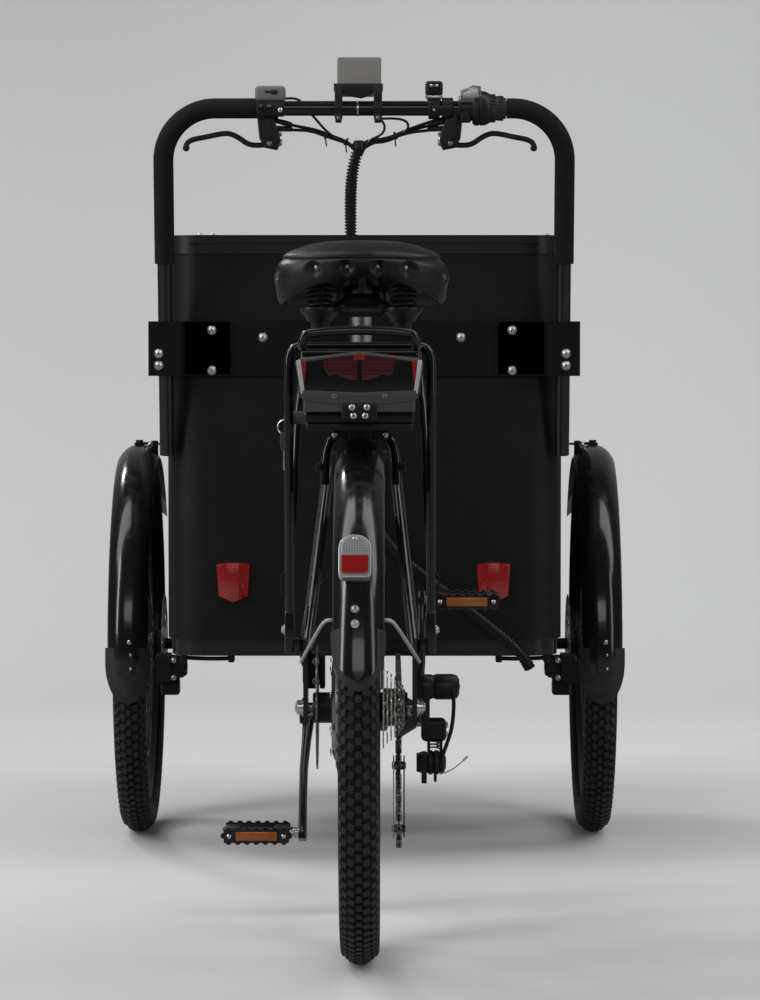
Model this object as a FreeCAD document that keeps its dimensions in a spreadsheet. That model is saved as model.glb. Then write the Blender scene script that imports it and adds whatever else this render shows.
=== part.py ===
import FreeCAD, Part
import math
import os

# Cargo tricycle with a load box between two front wheels and one driven rear wheel.
# Millimetres. +Z is up, +Y is the way it rides, +X is the rider's right.
# The origin is on the floor, under the middle of the whole vehicle.

SIZES = [
    # name, value
    ("wheelbase", 1300),
    ("track", 736),
    ("front_tyre_radius", 305.5),
    ("rear_tyre_radius", 331.5),
    ("tyre_width", 52),
    ("rim_depth", 20),
    ("rim_width", 30),
    ("spoke_width", 2.4),
    ("spoke_pairs", 8),
    ("hub_width", 56),
    ("hub_radius", 18),
    ("motor_radius", 72),
    ("disc_radius", 80),
    ("disc_thick", 2),
    ("guard_gap", 18),
    ("guard_width", 62),
    ("guard_thick", 2),
    ("box_width", 600),
    ("box_length", 880),
    ("box_bottom", 348),
    ("box_height", 612),
    ("box_corner", 60),
    ("wall", 9),
    ("floor_thick", 12),
    ("rim_height", 14),
    ("rim_lip", 3),
    ("panel_return", 110),
    ("base_tube", 25),
    ("pivot_back", 130),
    ("pivot_drop", 8),
    ("pin_radius", 12),
    ("axle_beam", 34),
    ("stub_radius", 9),
    ("bar_radius", 11),
    ("grip_radius", 15),
    ("bar_half_width", 299),
    ("bar_top", 1146),
    ("bar_foot", 628),
    ("bar_bend", 78),
    ("bar_lean", 10),
    ("bar_gap", 16),
    ("band_height", 82),
    ("band_bottom", 748),
    ("band_thick", 5),
    ("clamp_width", 50),
    ("loom_radius", 9),
    ("cable_radius", 3),
    ("stay_length", 480),
    ("crank_height", 272),
    ("crank_length", 170),
    ("crank_lean", 20),
    ("shell_radius", 22),
    ("shell_width", 70),
    ("beam_radius", 25),
    ("seat_tube_radius", 17),
    ("seat_tube_top", 700),
    ("seat_angle", 71),
    ("brace_radius", 16),
    ("post_radius", 13.5),
    ("stay_radius", 8),
    ("dropout_gap", 135),
    ("dropout_thick", 6),
    ("saddle_top", 940),
    ("saddle_width", 236),
    ("saddle_length", 262),
    ("saddle_thick", 72),
    ("spring_radius", 19),
    ("spring_spread", 56),
    ("rack_top", 808),
    ("rack_half_width", 74),
    ("rack_leg_x", 89),
    ("rack_tube", 6),
    ("battery_width", 140),
    ("battery_length", 300),
    ("battery_height", 62),
    ("lamp_depth", 26),
    ("ring_radius", 84),
    ("ring_x", 50),
    ("ring_thick", 3),
    ("sprocket_radius", 42),
    ("chain_height", 8),
    ("chain_width", 7),
    ("pulley_radius", 20),
    ("pedal_x", 148),
    ("pedal_width", 98),
    ("pedal_length", 82),
    ("pedal_height", 24),
    ("headlamp_depth", 58),
    ("seat_gap", 0.3),
]

doc = FreeCAD.newDocument("CargoTrike")
sheet = doc.addObject("Spreadsheet::Sheet", "Sizes")
for row, (alias, number) in enumerate(SIZES, 1):
    sheet.set("A%d" % row, alias)
    sheet.set("B%d" % row, str(number))
    sheet.setAlias("B%d" % row, alias)
doc.recompute()


class Dimensions:
    """Reads the sheet, so that dim.wheelbase is the cell named wheelbase."""

    def __getattr__(self, alias):
        return float(sheet.get(alias))


dim = Dimensions()
V = FreeCAD.Vector
UP = V(0, 0, 1)
ACROSS = V(1, 0, 0)
ALONG = V(0, 1, 0)
NODES = []

# Places that several pieces share
FLAP_GROW = 4
rear_reach = dim.rear_tyre_radius + dim.guard_gap
front_reach = dim.box_length / 2 + dim.headlamp_depth
front_y = (rear_reach + dim.wheelbase - front_reach) / 2
rear_y = front_y - dim.wheelbase
front_z = dim.front_tyre_radius
rear_z = dim.rear_tyre_radius
wheel_x = dim.track / 2
box_back = front_y - dim.box_length / 2
box_front = front_y + dim.box_length / 2
box_half = dim.box_width / 2
box_top = dim.box_bottom + dim.box_height
base_bottom = dim.box_bottom - dim.base_tube
pivot_y = front_y - dim.pivot_back
crank_y = rear_y + dim.stay_length
crank_z = dim.crank_height
seat_slope = math.radians(dim.seat_angle)
lean = math.radians(dim.bar_lean)
band_mid = dim.band_bottom + dim.band_height / 2
SIDES = (("left", -1), ("right", 1))


def seat_y(z):
    """Y of the seat tube's axis at a height."""
    return crank_y - (z - crank_z) / math.tan(seat_slope)


def bar_y(z):
    """Y of the handlebar's leaning plane at a height."""
    return box_back - dim.bar_gap - (z - band_mid) * math.tan(lean)


def native(kind, label, at, turn=None, **bound):
    """A primitive whose sizes are bound to expressions on the sheet."""
    item = doc.addObject(kind, label)
    item.Label = label
    for prop, text in bound.items():
        item.setExpression(prop, text)
    rotation = turn if turn else FreeCAD.Rotation()
    item.Placement = FreeCAD.Placement(V(*at), rotation)
    return item


def combine(kind, label, base, tool):
    """A parametric cut, common or fuse of two document objects."""
    item = doc.addObject(kind, label)
    item.Label = label
    item.Base = base
    item.Tool = tool
    return item


def keep(item):
    """Marks a document object as one of the sub-parts that are written out."""
    NODES.append(item)
    return item


def feature(label, shape):
    """A sub-part whose shape comes from Part's own functions."""
    item = doc.addObject("Part::Feature", label.title().replace("_", ""))
    item.Label = label
    item.Shape = shape
    item.Placement = shape.Placement
    return keep(item)


def shape_of(label):
    """The shape of a sub-part that is already made."""
    return next(item.Shape for item in NODES if item.Label == label)


def fuse(shapes):
    """One solid, or one compound where the pieces do not touch."""
    whole = shapes[0]
    if len(shapes) > 1:
        whole = shapes[0].multiFuse(shapes[1:])
    return whole.removeSplitter()


def block(x, y, z):
    """A box from three (low, high) pairs."""
    return Part.makeBox(x[1] - x[0], y[1] - y[0], z[1] - z[0], V(x[0], y[0], z[0]))


def rod(start, end, radius):
    """A round bar between two points."""
    start = V(*start)
    span = V(*end) - start
    return Part.makeCylinder(radius, span.Length, start, span)


def disc(x, y, z, radius, thick):
    """A round plate across the vehicle, centred at x."""
    return Part.makeCylinder(radius, thick, V(x - thick / 2, y, z), ACROSS)


def path(points, bends):
    """A wire of straight runs with a tangent arc at each inner point."""
    points = [V(*p) for p in points]
    if not isinstance(bends, (list, tuple)):
        bends = [bends] * (len(points) - 2)
    edges = []
    start = points[0]
    for before, corner, after, bend in zip(points, points[1:], points[2:], bends):
        back = (before - corner).normalize()
        ahead = (after - corner).normalize()
        half = back.getAngle(ahead) / 2
        if half > math.radians(89.9):
            continue
        reach = bend / math.tan(half)
        middle = (back + ahead).normalize()
        first = corner + back * reach
        last = corner + ahead * reach
        peak = corner + middle * (bend / math.sin(half) - bend)
        if (first - start).Length > 1e-6:
            edges.append(Part.makeLine(start, first))
        edges.append(Part.Arc(first, peak, last).toShape())
        start = last
    edges.append(Part.makeLine(start, points[-1]))
    return Part.Wire(edges)


def tube(points, radius, bends=30):
    """A round bar swept along a path."""
    spine = path(points, bends)
    start = V(*points[0])
    toward = V(*points[1]) - start
    profile = Part.Wire([Part.makeCircle(radius, start, toward)])
    return spine.makePipeShell([profile], True, True)


def rounded(half_x, back, front, corner, low, high):
    """A block with rounded upright corners."""
    inner = half_x - corner
    wire = Part.Wire([
        Part.makeLine(V(-inner, back, low), V(inner, back, low)),
        Part.makeCircle(corner, V(inner, back + corner, low), UP, -90, 0),
        Part.makeLine(V(half_x, back + corner, low), V(half_x, front - corner, low)),
        Part.makeCircle(corner, V(inner, front - corner, low), UP, 0, 90),
        Part.makeLine(V(inner, front, low), V(-inner, front, low)),
        Part.makeCircle(corner, V(-inner, front - corner, low), UP, 90, 180),
        Part.makeLine(V(-half_x, front - corner, low), V(-half_x, back + corner, low)),
        Part.makeCircle(corner, V(-inner, back + corner, low), UP, 180, 270),
    ])
    return Part.Face(wire).extrude(V(0, 0, high - low))


def box_outline(grow, low, high):
    """The load box's plan, grown outward by an amount, between two heights."""
    return rounded(box_half + grow, box_back - grow, box_front + grow, dim.box_corner + grow, low, high)


def group(label, shapes):
    """Like pieces that do not touch, kept as the solids of one node."""
    feature(label, Part.makeCompound(shapes))


# Load box
def load_box():
    wall_top = box_top - dim.rim_height
    ring = box_outline(0, dim.box_bottom, wall_top).cut(box_outline(-dim.wall, dim.box_bottom, wall_top))
    seam_back = box_back + dim.panel_return
    seam_front = box_front - dim.panel_return
    wide = (-box_half - 1, box_half + 1)
    high = (dim.box_bottom, wall_top)
    feature("box_rear_panel", ring.common(block(wide, (box_back - 1, seam_back), high)))
    feature("box_front_panel", ring.common(block(wide, (seam_front, box_front + 1), high)))
    for side, sign in SIDES:
        across = sorted((sign * (box_half - dim.wall), sign * box_half))
        low = (across[0], seam_back, dim.box_bottom)
        panel = native(
            "Part::Box", "box_side_panel_" + side, low,
            Length="Sizes.wall",
            Width="Sizes.box_length - 2 * Sizes.panel_return",
            Height="Sizes.box_height - Sizes.rim_height")
        keep(panel)
    feature("box_floor", box_outline(-dim.wall, dim.box_bottom, dim.box_bottom + dim.floor_thick))
    cap = box_outline(dim.rim_lip, wall_top - dim.rim_height, box_top)
    cap = cap.cut(box_outline(0, wall_top - dim.rim_height, wall_top))
    cap = cap.cut(box_outline(-dim.wall - dim.rim_lip, wall_top, box_top))
    feature("box_rim", cap)


def base_frame():
    inset = 6
    outer = box_outline(-inset, base_bottom, dim.box_bottom)
    ring = outer.cut(box_outline(-inset - dim.base_tube, base_bottom, dim.box_bottom))
    inside = box_half - inset - dim.base_tube / 2
    shapes = [ring]
    for y in (front_y, pivot_y, (pivot_y + box_back) / 2, (front_y + box_front) / 2):
        half = dim.base_tube / 2
        shapes.append(block((-inside, inside), (y - half, y + half), (base_bottom, dim.box_bottom)))
    plate_half = 70
    low = base_bottom - dim.pivot_drop
    shapes.append(block((-plate_half, plate_half), (pivot_y - plate_half, pivot_y + plate_half), (low, base_bottom)))
    feature("box_base_frame", fuse(shapes))


head_top = base_bottom - dim.pivot_drop - 5
head_height = 66
head_radius = 30
bearing_gap = 0.5


def steering():
    plate = base_bottom - dim.pivot_drop
    foot = head_top - head_height - 8
    pin = rod((0, pivot_y, foot), (0, pivot_y, plate), dim.pin_radius)
    nut = rod((0, pivot_y, foot - 10), (0, pivot_y, foot), dim.pin_radius + 8)
    collar = rod((0, pivot_y, plate - 3), (0, pivot_y, plate), dim.pin_radius + 10)
    feature("steering_pin", fuse([pin, nut, collar]))


# Front axle with its stub axles and brake carriers
def front_axle():
    end = box_half - 8
    low = base_bottom - dim.axle_beam
    half = dim.axle_beam / 2
    shapes = [block((-end, end), (front_y - half, front_y + half), (low, base_bottom))]
    for side, sign in SIDES:
        reach = wheel_x + dim.hub_width / 2 + 6
        shapes.append(rod((sign * (end - 20), front_y, front_z), (sign * reach, front_y, front_z), dim.stub_radius))
        across = sorted((sign * end, sign * (end + 8)))
        shapes.append(block(across, (front_y - 84, front_y + 24), (front_z - 38, front_z + 17)))
        carrier = sorted((sign * (end + 8), sign * (disc_x - 14)))
        shapes.append(block(carrier, (front_y - 84, front_y - 48), (front_z - 38, front_z - 20)))
    nut_x = wheel_x + dim.hub_width / 2
    for side, sign in SIDES:
        shapes.append(rod((sign * (nut_x + 2), front_y, front_z), (sign * (nut_x + 10), front_y, front_z), 13))
    feature("front_axle", fuse(shapes))


disc_x = wheel_x - dim.hub_width / 2 - 12
slot = 1.5


def brake_caliper(x, wheel_y, wheel_z, y, z, sign):
    """A block that straddles a disc, with a slot for it."""
    body = block(sorted((x - sign * 14, x + sign * 9)), (y - 26, y + 26), (z - 23, z + 23))
    body = body.makeFillet(4, [e for e in body.Edges if abs(e.tangentAt(e.FirstParameter).x) > 0.9])
    return body.cut(disc(x, wheel_y, wheel_z, dim.disc_radius + 3, dim.disc_thick + 2 * slot))


def tyre_shape(x, y, z, radius):
    """A tyre as a revolved oval section, open towards the rim."""
    half = dim.tyre_width / 2
    inner = radius - dim.tyre_width * 0.86
    seat = dim.rim_width / 2 - 2
    shoulder = radius - half * 0.9
    wire = Part.Wire([
        Part.makeLine(V(x - seat, y, z + inner), V(x + seat, y, z + inner)),
        Part.Arc(V(x + seat, y, z + inner), V(x + half, y, z + shoulder), V(x + half * 0.55, y, z + radius - 5)).toShape(),
        Part.Arc(V(x + half * 0.55, y, z + radius - 5), V(x, y, z + radius), V(x - half * 0.55, y, z + radius - 5)).toShape(),
        Part.Arc(V(x - half * 0.55, y, z + radius - 5), V(x - half, y, z + shoulder), V(x - seat, y, z + inner)).toShape(),
    ])
    return Part.Face(wire).revolve(V(x, y, z), ACROSS, 360)


def rim_shape(x, y, z, radius):
    """A double-wall rim: its outer bed meets the tyre."""
    bed = radius - dim.tyre_width * 0.86
    half = dim.rim_width / 2
    low = bed - dim.rim_depth
    corners = [
        (-half, bed), (half, bed), (half, bed - 9), (half * 0.45, low),
        (-half * 0.45, low), (-half, bed - 9), (-half, bed)]
    wire = Part.makePolygon([V(x + a, y, z + r) for a, r in corners])
    return Part.Face(wire).revolve(V(x, y, z), ACROSS, 360)


def spoke_set(x, y, z, flange, flange_x, rim_inner, pairs, offset):
    """Crossed spokes as slim square bars, cut flush with the rim."""
    shapes = []
    count = int(pairs) * 4
    half = dim.spoke_width / 2
    for index in range(count):
        side = 1 if index % 2 else -1
        lead = 1 if index % 4 > 1 else -1
        angle = 2 * math.pi * index / count
        start_angle = angle - lead * math.radians(62) * (1 if flange < 40 else 0.35)
        start = V(x + offset + side * flange_x, y + flange * math.cos(start_angle), z + flange * math.sin(start_angle))
        outer = rim_inner + 4
        end = V(x, y + outer * math.cos(angle), z + outer * math.sin(angle))
        run = end - start
        face = Part.makePlane(2 * half, 2 * half, V(-half, -half, 0), UP)
        bar = face.extrude(V(0, 0, run.Length))
        bar.Placement = FreeCAD.Placement(start, FreeCAD.Rotation(UP, run))
        shapes.append(bar)
    limit = disc(x, y, z, rim_inner, 200)
    return [shape.common(limit) for shape in shapes]


def wheel(name, x, y, z, radius, hub, flange, flange_x, offset=0):
    feature("tyre_" + name, tyre_shape(x, y, z, radius))
    feature("rim_" + name, rim_shape(x, y, z, radius))
    rim_inner = radius - dim.tyre_width * 0.86 - dim.rim_depth
    spokes = spoke_set(x, y, z, flange, flange_x, rim_inner, dim.spoke_pairs, offset)
    feature("hub_" + name, fuse([hub] + spokes))


def front_wheels():
    calipers = []
    for side, sign in SIDES:
        x = sign * wheel_x
        half = dim.hub_width / 2
        shell = disc(x, front_y, front_z, dim.hub_radius, dim.hub_width)
        for end in (-1, 1):
            shell = shell.fuse(disc(x + end * (half - 5), front_y, front_z, dim.hub_radius + 10, 4))
        boss_mid = x - sign * (half + 6)
        shell = shell.fuse(disc(boss_mid, front_y, front_z, dim.hub_radius + 4, 12))
        shell = shell.fuse(disc(sign * disc_x, front_y, front_z, dim.disc_radius, dim.disc_thick))
        bore = disc(x, front_y, front_z, dim.stub_radius + 0.4, dim.hub_width + 60)
        wheel("front_" + side, x, front_y, front_z, dim.front_tyre_radius,
              shell.cut(bore), dim.hub_radius + 8, half - 5)
        calipers.append(brake_caliper(sign * disc_x, front_y, front_z, front_y - 62, front_z - 34, sign))
    group("brake_calipers_front", calipers)


# Mudguards
def guard_shape(x, y, z, radius, width, thick, start, end):
    """A curved channel over a wheel, from one angle to another. 90 degrees is straight up."""
    half = width / 2
    crown = 12
    wire = Part.Wire([
        Part.Arc(V(x - half, y, z + radius - crown), V(x, y, z + radius), V(x + half, y, z + radius - crown)).toShape(),
        Part.makeLine(V(x + half, y, z + radius - crown), V(x + half - thick, y, z + radius - crown - thick)),
        Part.Arc(V(x + half - thick, y, z + radius - crown - thick), V(x, y, z + radius - thick),
                 V(x - half + thick, y, z + radius - crown - thick)).toShape(),
        Part.makeLine(V(x - half + thick, y, z + radius - crown - thick), V(x - half, y, z + radius - crown)),
    ])
    face = Part.Face(wire)
    face.rotate(V(x, y, z), ACROSS, start - 90)
    return face.revolve(V(x, y, z), ACROSS, end - start)


def mudguards():
    radius = dim.front_tyre_radius + dim.guard_gap
    guards = []
    flaps = []
    for side, sign in SIDES:
        x = sign * wheel_x
        guards.append(guard_shape(x, front_y, front_z, radius, dim.guard_width, dim.guard_thick, 40, 184))
        flaps.append(guard_shape(x, front_y, front_z, radius + 2.4, dim.guard_width + 6, 2, 176, 192))
    group("mudguards_front", guards)
    group("mud_flaps_front", flaps)
    rear_radius = dim.rear_tyre_radius + dim.guard_gap
    guard = guard_shape(0, rear_y, rear_z, rear_radius, dim.guard_width, dim.guard_thick, 28, 164)
    feature("mudguard_rear", guard)
    flap = guard_shape(0, rear_y, rear_z, rear_radius + 2.4, dim.guard_width + 4, 2, 160, 171)
    feature("mud_flap_rear", flap)


def guard_brackets():
    radius = dim.front_tyre_radius + dim.guard_gap
    top = front_z + radius
    brackets = []
    for side, sign in SIDES:
        near = sign * (box_half + 0.02)
        far = sign * (wheel_x + 8)
        strap = block(sorted((near, far)), (front_y - 11, front_y + 11), (top + 0.3, top + 3.3))
        foot = block(sorted((near, sign * (box_half + 3))), (front_y - 11, front_y + 11), (top - 150, top + 3.3))
        bolt = rod((sign * wheel_x, front_y, top + 3.3), (sign * wheel_x, front_y, top + 8), 6)
        brackets.append(fuse([strap, foot, bolt]))
    group("guard_brackets", brackets)


# Handlebar
def bar_points():
    foot = dim.bar_foot
    top = dim.bar_top
    half = dim.bar_half_width
    return [(-half, bar_y(foot), foot), (-half, bar_y(top), top), (half, bar_y(top), top), (half, bar_y(foot), foot)]


def grip(sign, low, inner_x):
    top = dim.bar_top
    half = dim.bar_half_width
    points = [(sign * half, bar_y(low), low), (sign * half, bar_y(top), top), (sign * inner_x, bar_y(top), top)]
    outer = tube(points, dim.grip_radius, dim.bar_bend)
    return outer.cut(tube(points, dim.bar_radius, dim.bar_bend))


def handlebar():
    feature("handlebar", tube(bar_points(), dim.bar_radius, dim.bar_bend))
    group("grips", [grip(-1, 917, 158), grip(1, 917, 212)])
    half = box_half - dim.box_corner
    low = (-half, box_back - dim.band_thick, dim.band_bottom)
    keep(native("Part::Box", "handlebar_band", low,
                Length="Sizes.box_width - 2 * Sizes.box_corner",
                Width="Sizes.band_thick", Height="Sizes.band_height"))
    clamps = []
    for side, sign in SIDES:
        x = sign * dim.bar_half_width
        back = box_back - dim.bar_gap - dim.bar_radius - 9
        front = box_back - dim.band_thick
        outer = block(sorted((x - sign * dim.clamp_width / 2, x + sign * dim.clamp_width / 2)),
                      (back, front + 13), (dim.band_bottom, dim.band_bottom + dim.band_height))
        inner_x = half - 40
        tongue = block(sorted((sign * inner_x, x)), (front - 5, front),
                       (dim.band_bottom, dim.band_bottom + dim.band_height))
        points = [(x, bar_y(600), 600), (x, bar_y(1000), 1000)]
        clamp = fuse([outer, tongue]).cut(rod(points[0], points[1], dim.bar_radius))
        clamps.append(clamp.cut(box_outline(0, 600, 1000)))
    group("handlebar_clamps", clamps)


def on_bar(x, drop=0, ahead=0):
    """A point on the top bar, lower by drop and further forward by ahead."""
    return V(x, bar_y(dim.bar_top) + ahead, dim.bar_top - drop)


def bar_hole(shape, x0, x1):
    start = on_bar(min(x0, x1))
    end = on_bar(max(x0, x1))
    return shape.cut(rod(tuple(start), tuple(end), dim.bar_radius))


def brake_lever(sign, x):
    center = on_bar(x)
    ring = rod((x - 9, center.y, center.z), (x + 9, center.y, center.z), dim.bar_radius + 5)
    body = block((x - 8, x + 8), (center.y + 2, center.y + 26), (center.z - 52, center.z - 4))
    outward = sign
    blade = tube([
        (x + outward * 2, center.y + 20, center.z - 48),
        (x + outward * 30, center.y + 22, center.z - 50),
        (x + outward * 62, center.y + 16, center.z - 40),
        (x + outward * 130, center.y + 10, center.z - 48),
        (x + outward * 138, center.y + 10, center.z - 56)], 4.5, [30, 30, 40, 6])
    shape = fuse([ring, body, blade])
    return bar_hole(shape, x - 30, x + 30)


def controls():
    group("brake_levers", [brake_lever(-1, -136), brake_lever(1, 124)])
    c = on_bar(-7)
    arms = []
    for x in (-38, 20):
        arms.append(rod((x - 4, c.y, c.z), (x + 4, c.y, c.z), dim.bar_radius + 6))
        arms.append(block((x - 4, x + 4), (c.y - 14, c.y + 2), (c.z - 4, c.z + 26)))
    shape = bar_hole(fuse(arms), -60, 40)
    plate = Part.makeBox(66, 9, 64, V(-40, 0, 0))
    plate = plate.makeFillet(3, plate.Edges)
    plate.Placement = FreeCAD.Placement(V(0, c.y - 14, c.z + 18), FreeCAD.Rotation(ACROSS, -20))
    feature("display_bracket", shape.cut(plate))
    feature("display", plate)
    c = on_bar(-137)
    pod = block((-158, -117), (c.y - 22, c.y + 14), (c.z - 2, c.z + 28))
    pod = pod.makeFillet(6, pod.Edges)
    ring = rod((-158, c.y, c.z), (-146.5, c.y, c.z), dim.grip_radius + 2)
    pod = fuse([pod, ring]).cut(rod((-145.5, c.y, c.z), (-110, c.y, c.z), dim.bar_radius + 5.3))
    pod = pod.cut(rod((-170, c.y, c.z), (-158, c.y, c.z), dim.grip_radius))
    feature("thumb_control", bar_hole(pod, -170, -100))
    c = on_bar(104)
    stem = rod((98, c.y, c.z), (110, c.y, c.z), dim.bar_radius + 5)
    post = block((98, 110), (c.y - 6, c.y + 6), (c.z + 5, c.z + 22))
    dome = rod((104, c.y, c.z + 20), (104, c.y, c.z + 40), 13)
    feature("bell", bar_hole(fuse([stem, post, dome]), 90, 120))
    c = on_bar(176)
    body = rod((146, c.y, c.z), (176, c.y, c.z), 19)
    wide = rod((176, c.y, c.z), (184, c.y, c.z), 26)
    cone = Part.makeCone(22, 17.5, 26, V(184, c.y, c.z), ACROSS)
    pod = block((148, 176), (c.y - 20, c.y + 8), (c.z + 2, c.z + 30))
    feature("twist_shifter", bar_hole(fuse([body, wide, cone, pod]), 100, 240))


# Cables in one wrap, from the bar down the back of the box and under its base
def loom():
    back = box_back - dim.band_thick - dim.loom_radius - dim.seat_gap
    points = [
        (-8, bar_y(1090) + 26, 1090), (-20, bar_y(1050) + 20, 1050), (-21, back - 8, 985),
        (-18, back, 900), (-16, back, 800), (-14, back, 690), (-6, back, 600), (20, back, 510),
        (90, back, 448), (165, back, 388), (225, back, 340), (250, back + 8, 309)]
    bends = [46, 90, 160, 240, 300, 300, 150, 120, 400, 300, 40]
    feature("cable_loom", tube(points, dim.loom_radius, bends[:len(points) - 2]))


def reflectors():
    lenses = []
    for side, sign in SIDES:
        x = sign * 197
        y = box_back
        wide = 27
        corners = [(-wide, 466), (wide, 466), (wide - 3, 414), (0, 404), (-wide + 3, 414), (-wide, 466)]
        face = Part.Face(Part.makePolygon([V(x + a, y, z) for a, z in corners]))
        lenses.append(face.extrude(V(0, -9, 0)))
    group("reflectors", lenses)


def headlamp():
    y = box_front
    z = dim.box_bottom + dim.box_height * 0.72
    base = block((-20, 20), (y, y + 6), (z - 26, z + 26))
    arm = rod((0, y + 4, z), (0, y + 24, z), 9)
    body = Part.makeCone(20, 31, dim.headlamp_depth - 22, V(0, y + 20, z), ALONG)
    ring = Part.makeCylinder(33, 6, V(0, y + dim.headlamp_depth - 6, z), ALONG)
    feature("headlamp", fuse([base, arm, body, ring]))


# Rear frame
def main_frame():
    shell = disc(0, crank_y, crank_z, dim.shell_radius, dim.shell_width)
    head_mid = head_top - head_height / 2
    beam = tube([(0, crank_y, crank_z), (0, pivot_y - head_radius - 60, head_mid + 2), (0, pivot_y, head_mid)],
                dim.beam_radius, 100)
    seat_top = (0, seat_y(dim.seat_tube_top), dim.seat_tube_top)
    seat = rod((0, crank_y, crank_z), seat_top, dim.seat_tube_radius)
    brace_high = 560
    brace = tube([(0, seat_y(brace_high), brace_high), (0, crank_y + 120, 400), (0, crank_y + 380, head_mid + 6)],
                 dim.brace_radius, 160)
    head = rod((0, pivot_y, head_top - head_height), (0, pivot_y, head_top), head_radius)
    frame = fuse([shell, beam, seat, brace, head])
    frame = frame.cut(rod((0, pivot_y, head_top - 100), (0, pivot_y, head_top + 10), dim.pin_radius + bearing_gap))
    frame = frame.cut(disc(0, crank_y, crank_z, 13, 200))
    up = V(0, seat_y(900), 900) - V(0, crank_y, crank_z)
    hole = Part.makeCylinder(dim.post_radius, 400, V(0, seat_y(560), 560), up)
    feature("main_frame", frame.cut(hole))
    collar = Part.makeCylinder(dim.seat_tube_radius + 5, 22, V(*seat_top), up)
    collar = collar.cut(hole)
    feature("seat_collar", collar)


def rear_triangle():
    plate_x = dim.dropout_gap / 2
    shapes = []
    for side, sign in SIDES:
        x = sign * (plate_x + dim.dropout_thick / 2)
        across = sorted((sign * plate_x, sign * (plate_x + dim.dropout_thick)))
        plate = block(across, (rear_y - 18, rear_y + 34), (rear_z - 22, rear_z + 88))
        chain_stay = tube([
            (sign * 26, crank_y - 16, crank_z), (sign * 33, crank_y - 60, crank_z + 6),
            (sign * 34, crank_y - 104, crank_z + 12), (sign * 47, crank_y - 158, crank_z + 20),
            (sign * 71, rear_y + 22, rear_z - 4)], dim.stay_radius, 60)
        seat_stay = tube([
            (sign * 14, seat_y(650), 650), (sign * 44, seat_y(650) - 42, 642),
            (sign * 71, rear_y + 12, rear_z + 70)], dim.stay_radius, 30)
        shapes += [plate, chain_stay, seat_stay]
    whole = fuse(shapes)
    whole = whole.cut(disc(0, rear_y, rear_z, 6.2, 300))
    shell = disc(0, crank_y, crank_z, dim.shell_radius, dim.shell_width)
    seat = rod((0, crank_y, crank_z), (0, seat_y(dim.seat_tube_top), dim.seat_tube_top), dim.seat_tube_radius)
    feature("rear_triangle", whole.cut(shell).cut(seat))


def seat():
    up = (V(0, seat_y(900), 900) - V(0, crank_y, crank_z)).normalize()
    low = V(0, seat_y(600), 600)
    clamp_z = dim.saddle_top - dim.saddle_thick - 40
    top = V(0, seat_y(clamp_z), clamp_z)
    feature("seat_post", Part.makeCylinder(dim.post_radius, (top - low).Length, low, up))
    y = seat_y(clamp_z)
    under = dim.saddle_top - dim.saddle_thick
    shapes = [block((-24, 24), (y - 22, y + 26), (clamp_z, clamp_z + 18))]
    for sign in (-1, 1):
        rail = tube([
            (sign * 12, y + 96, under - 4.3), (sign * 20, y + 70, clamp_z + 16), (sign * 20, y, clamp_z + 12),
            (sign * 40, y - 40, clamp_z + 4), (sign * dim.spring_spread, y - 62, clamp_z - 10)], 4, 14)
        shapes.append(rail)
        x = sign * dim.spring_spread
        spring_y = y - 66
        cup = Part.makeCone(17, 27, 13, V(x, spring_y, clamp_z - 20), UP)
        lip = rod((x, spring_y, clamp_z - 7), (x, spring_y, clamp_z - 1), 27)
        core = rod((x, spring_y, clamp_z - 6), (x, spring_y, under - dim.seat_gap), 11)
        coils = []
        for step in range(5):
            coils.append(Part.makeTorus(dim.spring_radius - 3, 3.2, V(x, spring_y, clamp_z + 4 + step * 7.2), UP))
        web = block((x - dim.spring_radius + 4, x + dim.spring_radius - 4), (spring_y - 3, spring_y + 3),
                    (clamp_z - 4, under - dim.seat_gap))
        shapes += [cup, lip, core, web] + coils
    feature("saddle_undercarriage", fuse(shapes).cut(shape_of("seat_post")))
    outline_saddle(y - 66)


def outline_saddle(spring_y):
    """A wide comfort saddle: round rump, slim nose, rolled edges."""
    half = dim.saddle_width / 2
    back = spring_y - 62
    under = dim.saddle_top - dim.saddle_thick
    nose = back + dim.saddle_length
    nose_half = 24
    points = {
        "rump": V(0, back, under), "right": V(half, back + 78, under), "waist": V(nose_half + 8, nose - 62, under)}
    left = V(-half, back + 78, under)
    left_waist = V(-nose_half - 8, nose - 62, under)
    wire = Part.Wire([
        Part.Arc(left, points["rump"], points["right"]).toShape(),
        Part.Arc(points["right"], V(half * 0.72, back + 148, under), points["waist"]).toShape(),
        Part.Arc(points["waist"], V(0, nose, under), left_waist).toShape(),
        Part.Arc(left_waist, V(-half * 0.72, back + 148, under), left).toShape(),
    ])
    solid = Part.Face(wire).extrude(V(0, 0, dim.saddle_thick))
    top_edges = [e for e in solid.Edges if e.BoundBox.ZMin > under + dim.saddle_thick - 1]
    feature("saddle", solid.makeFillet(26, top_edges))


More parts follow.
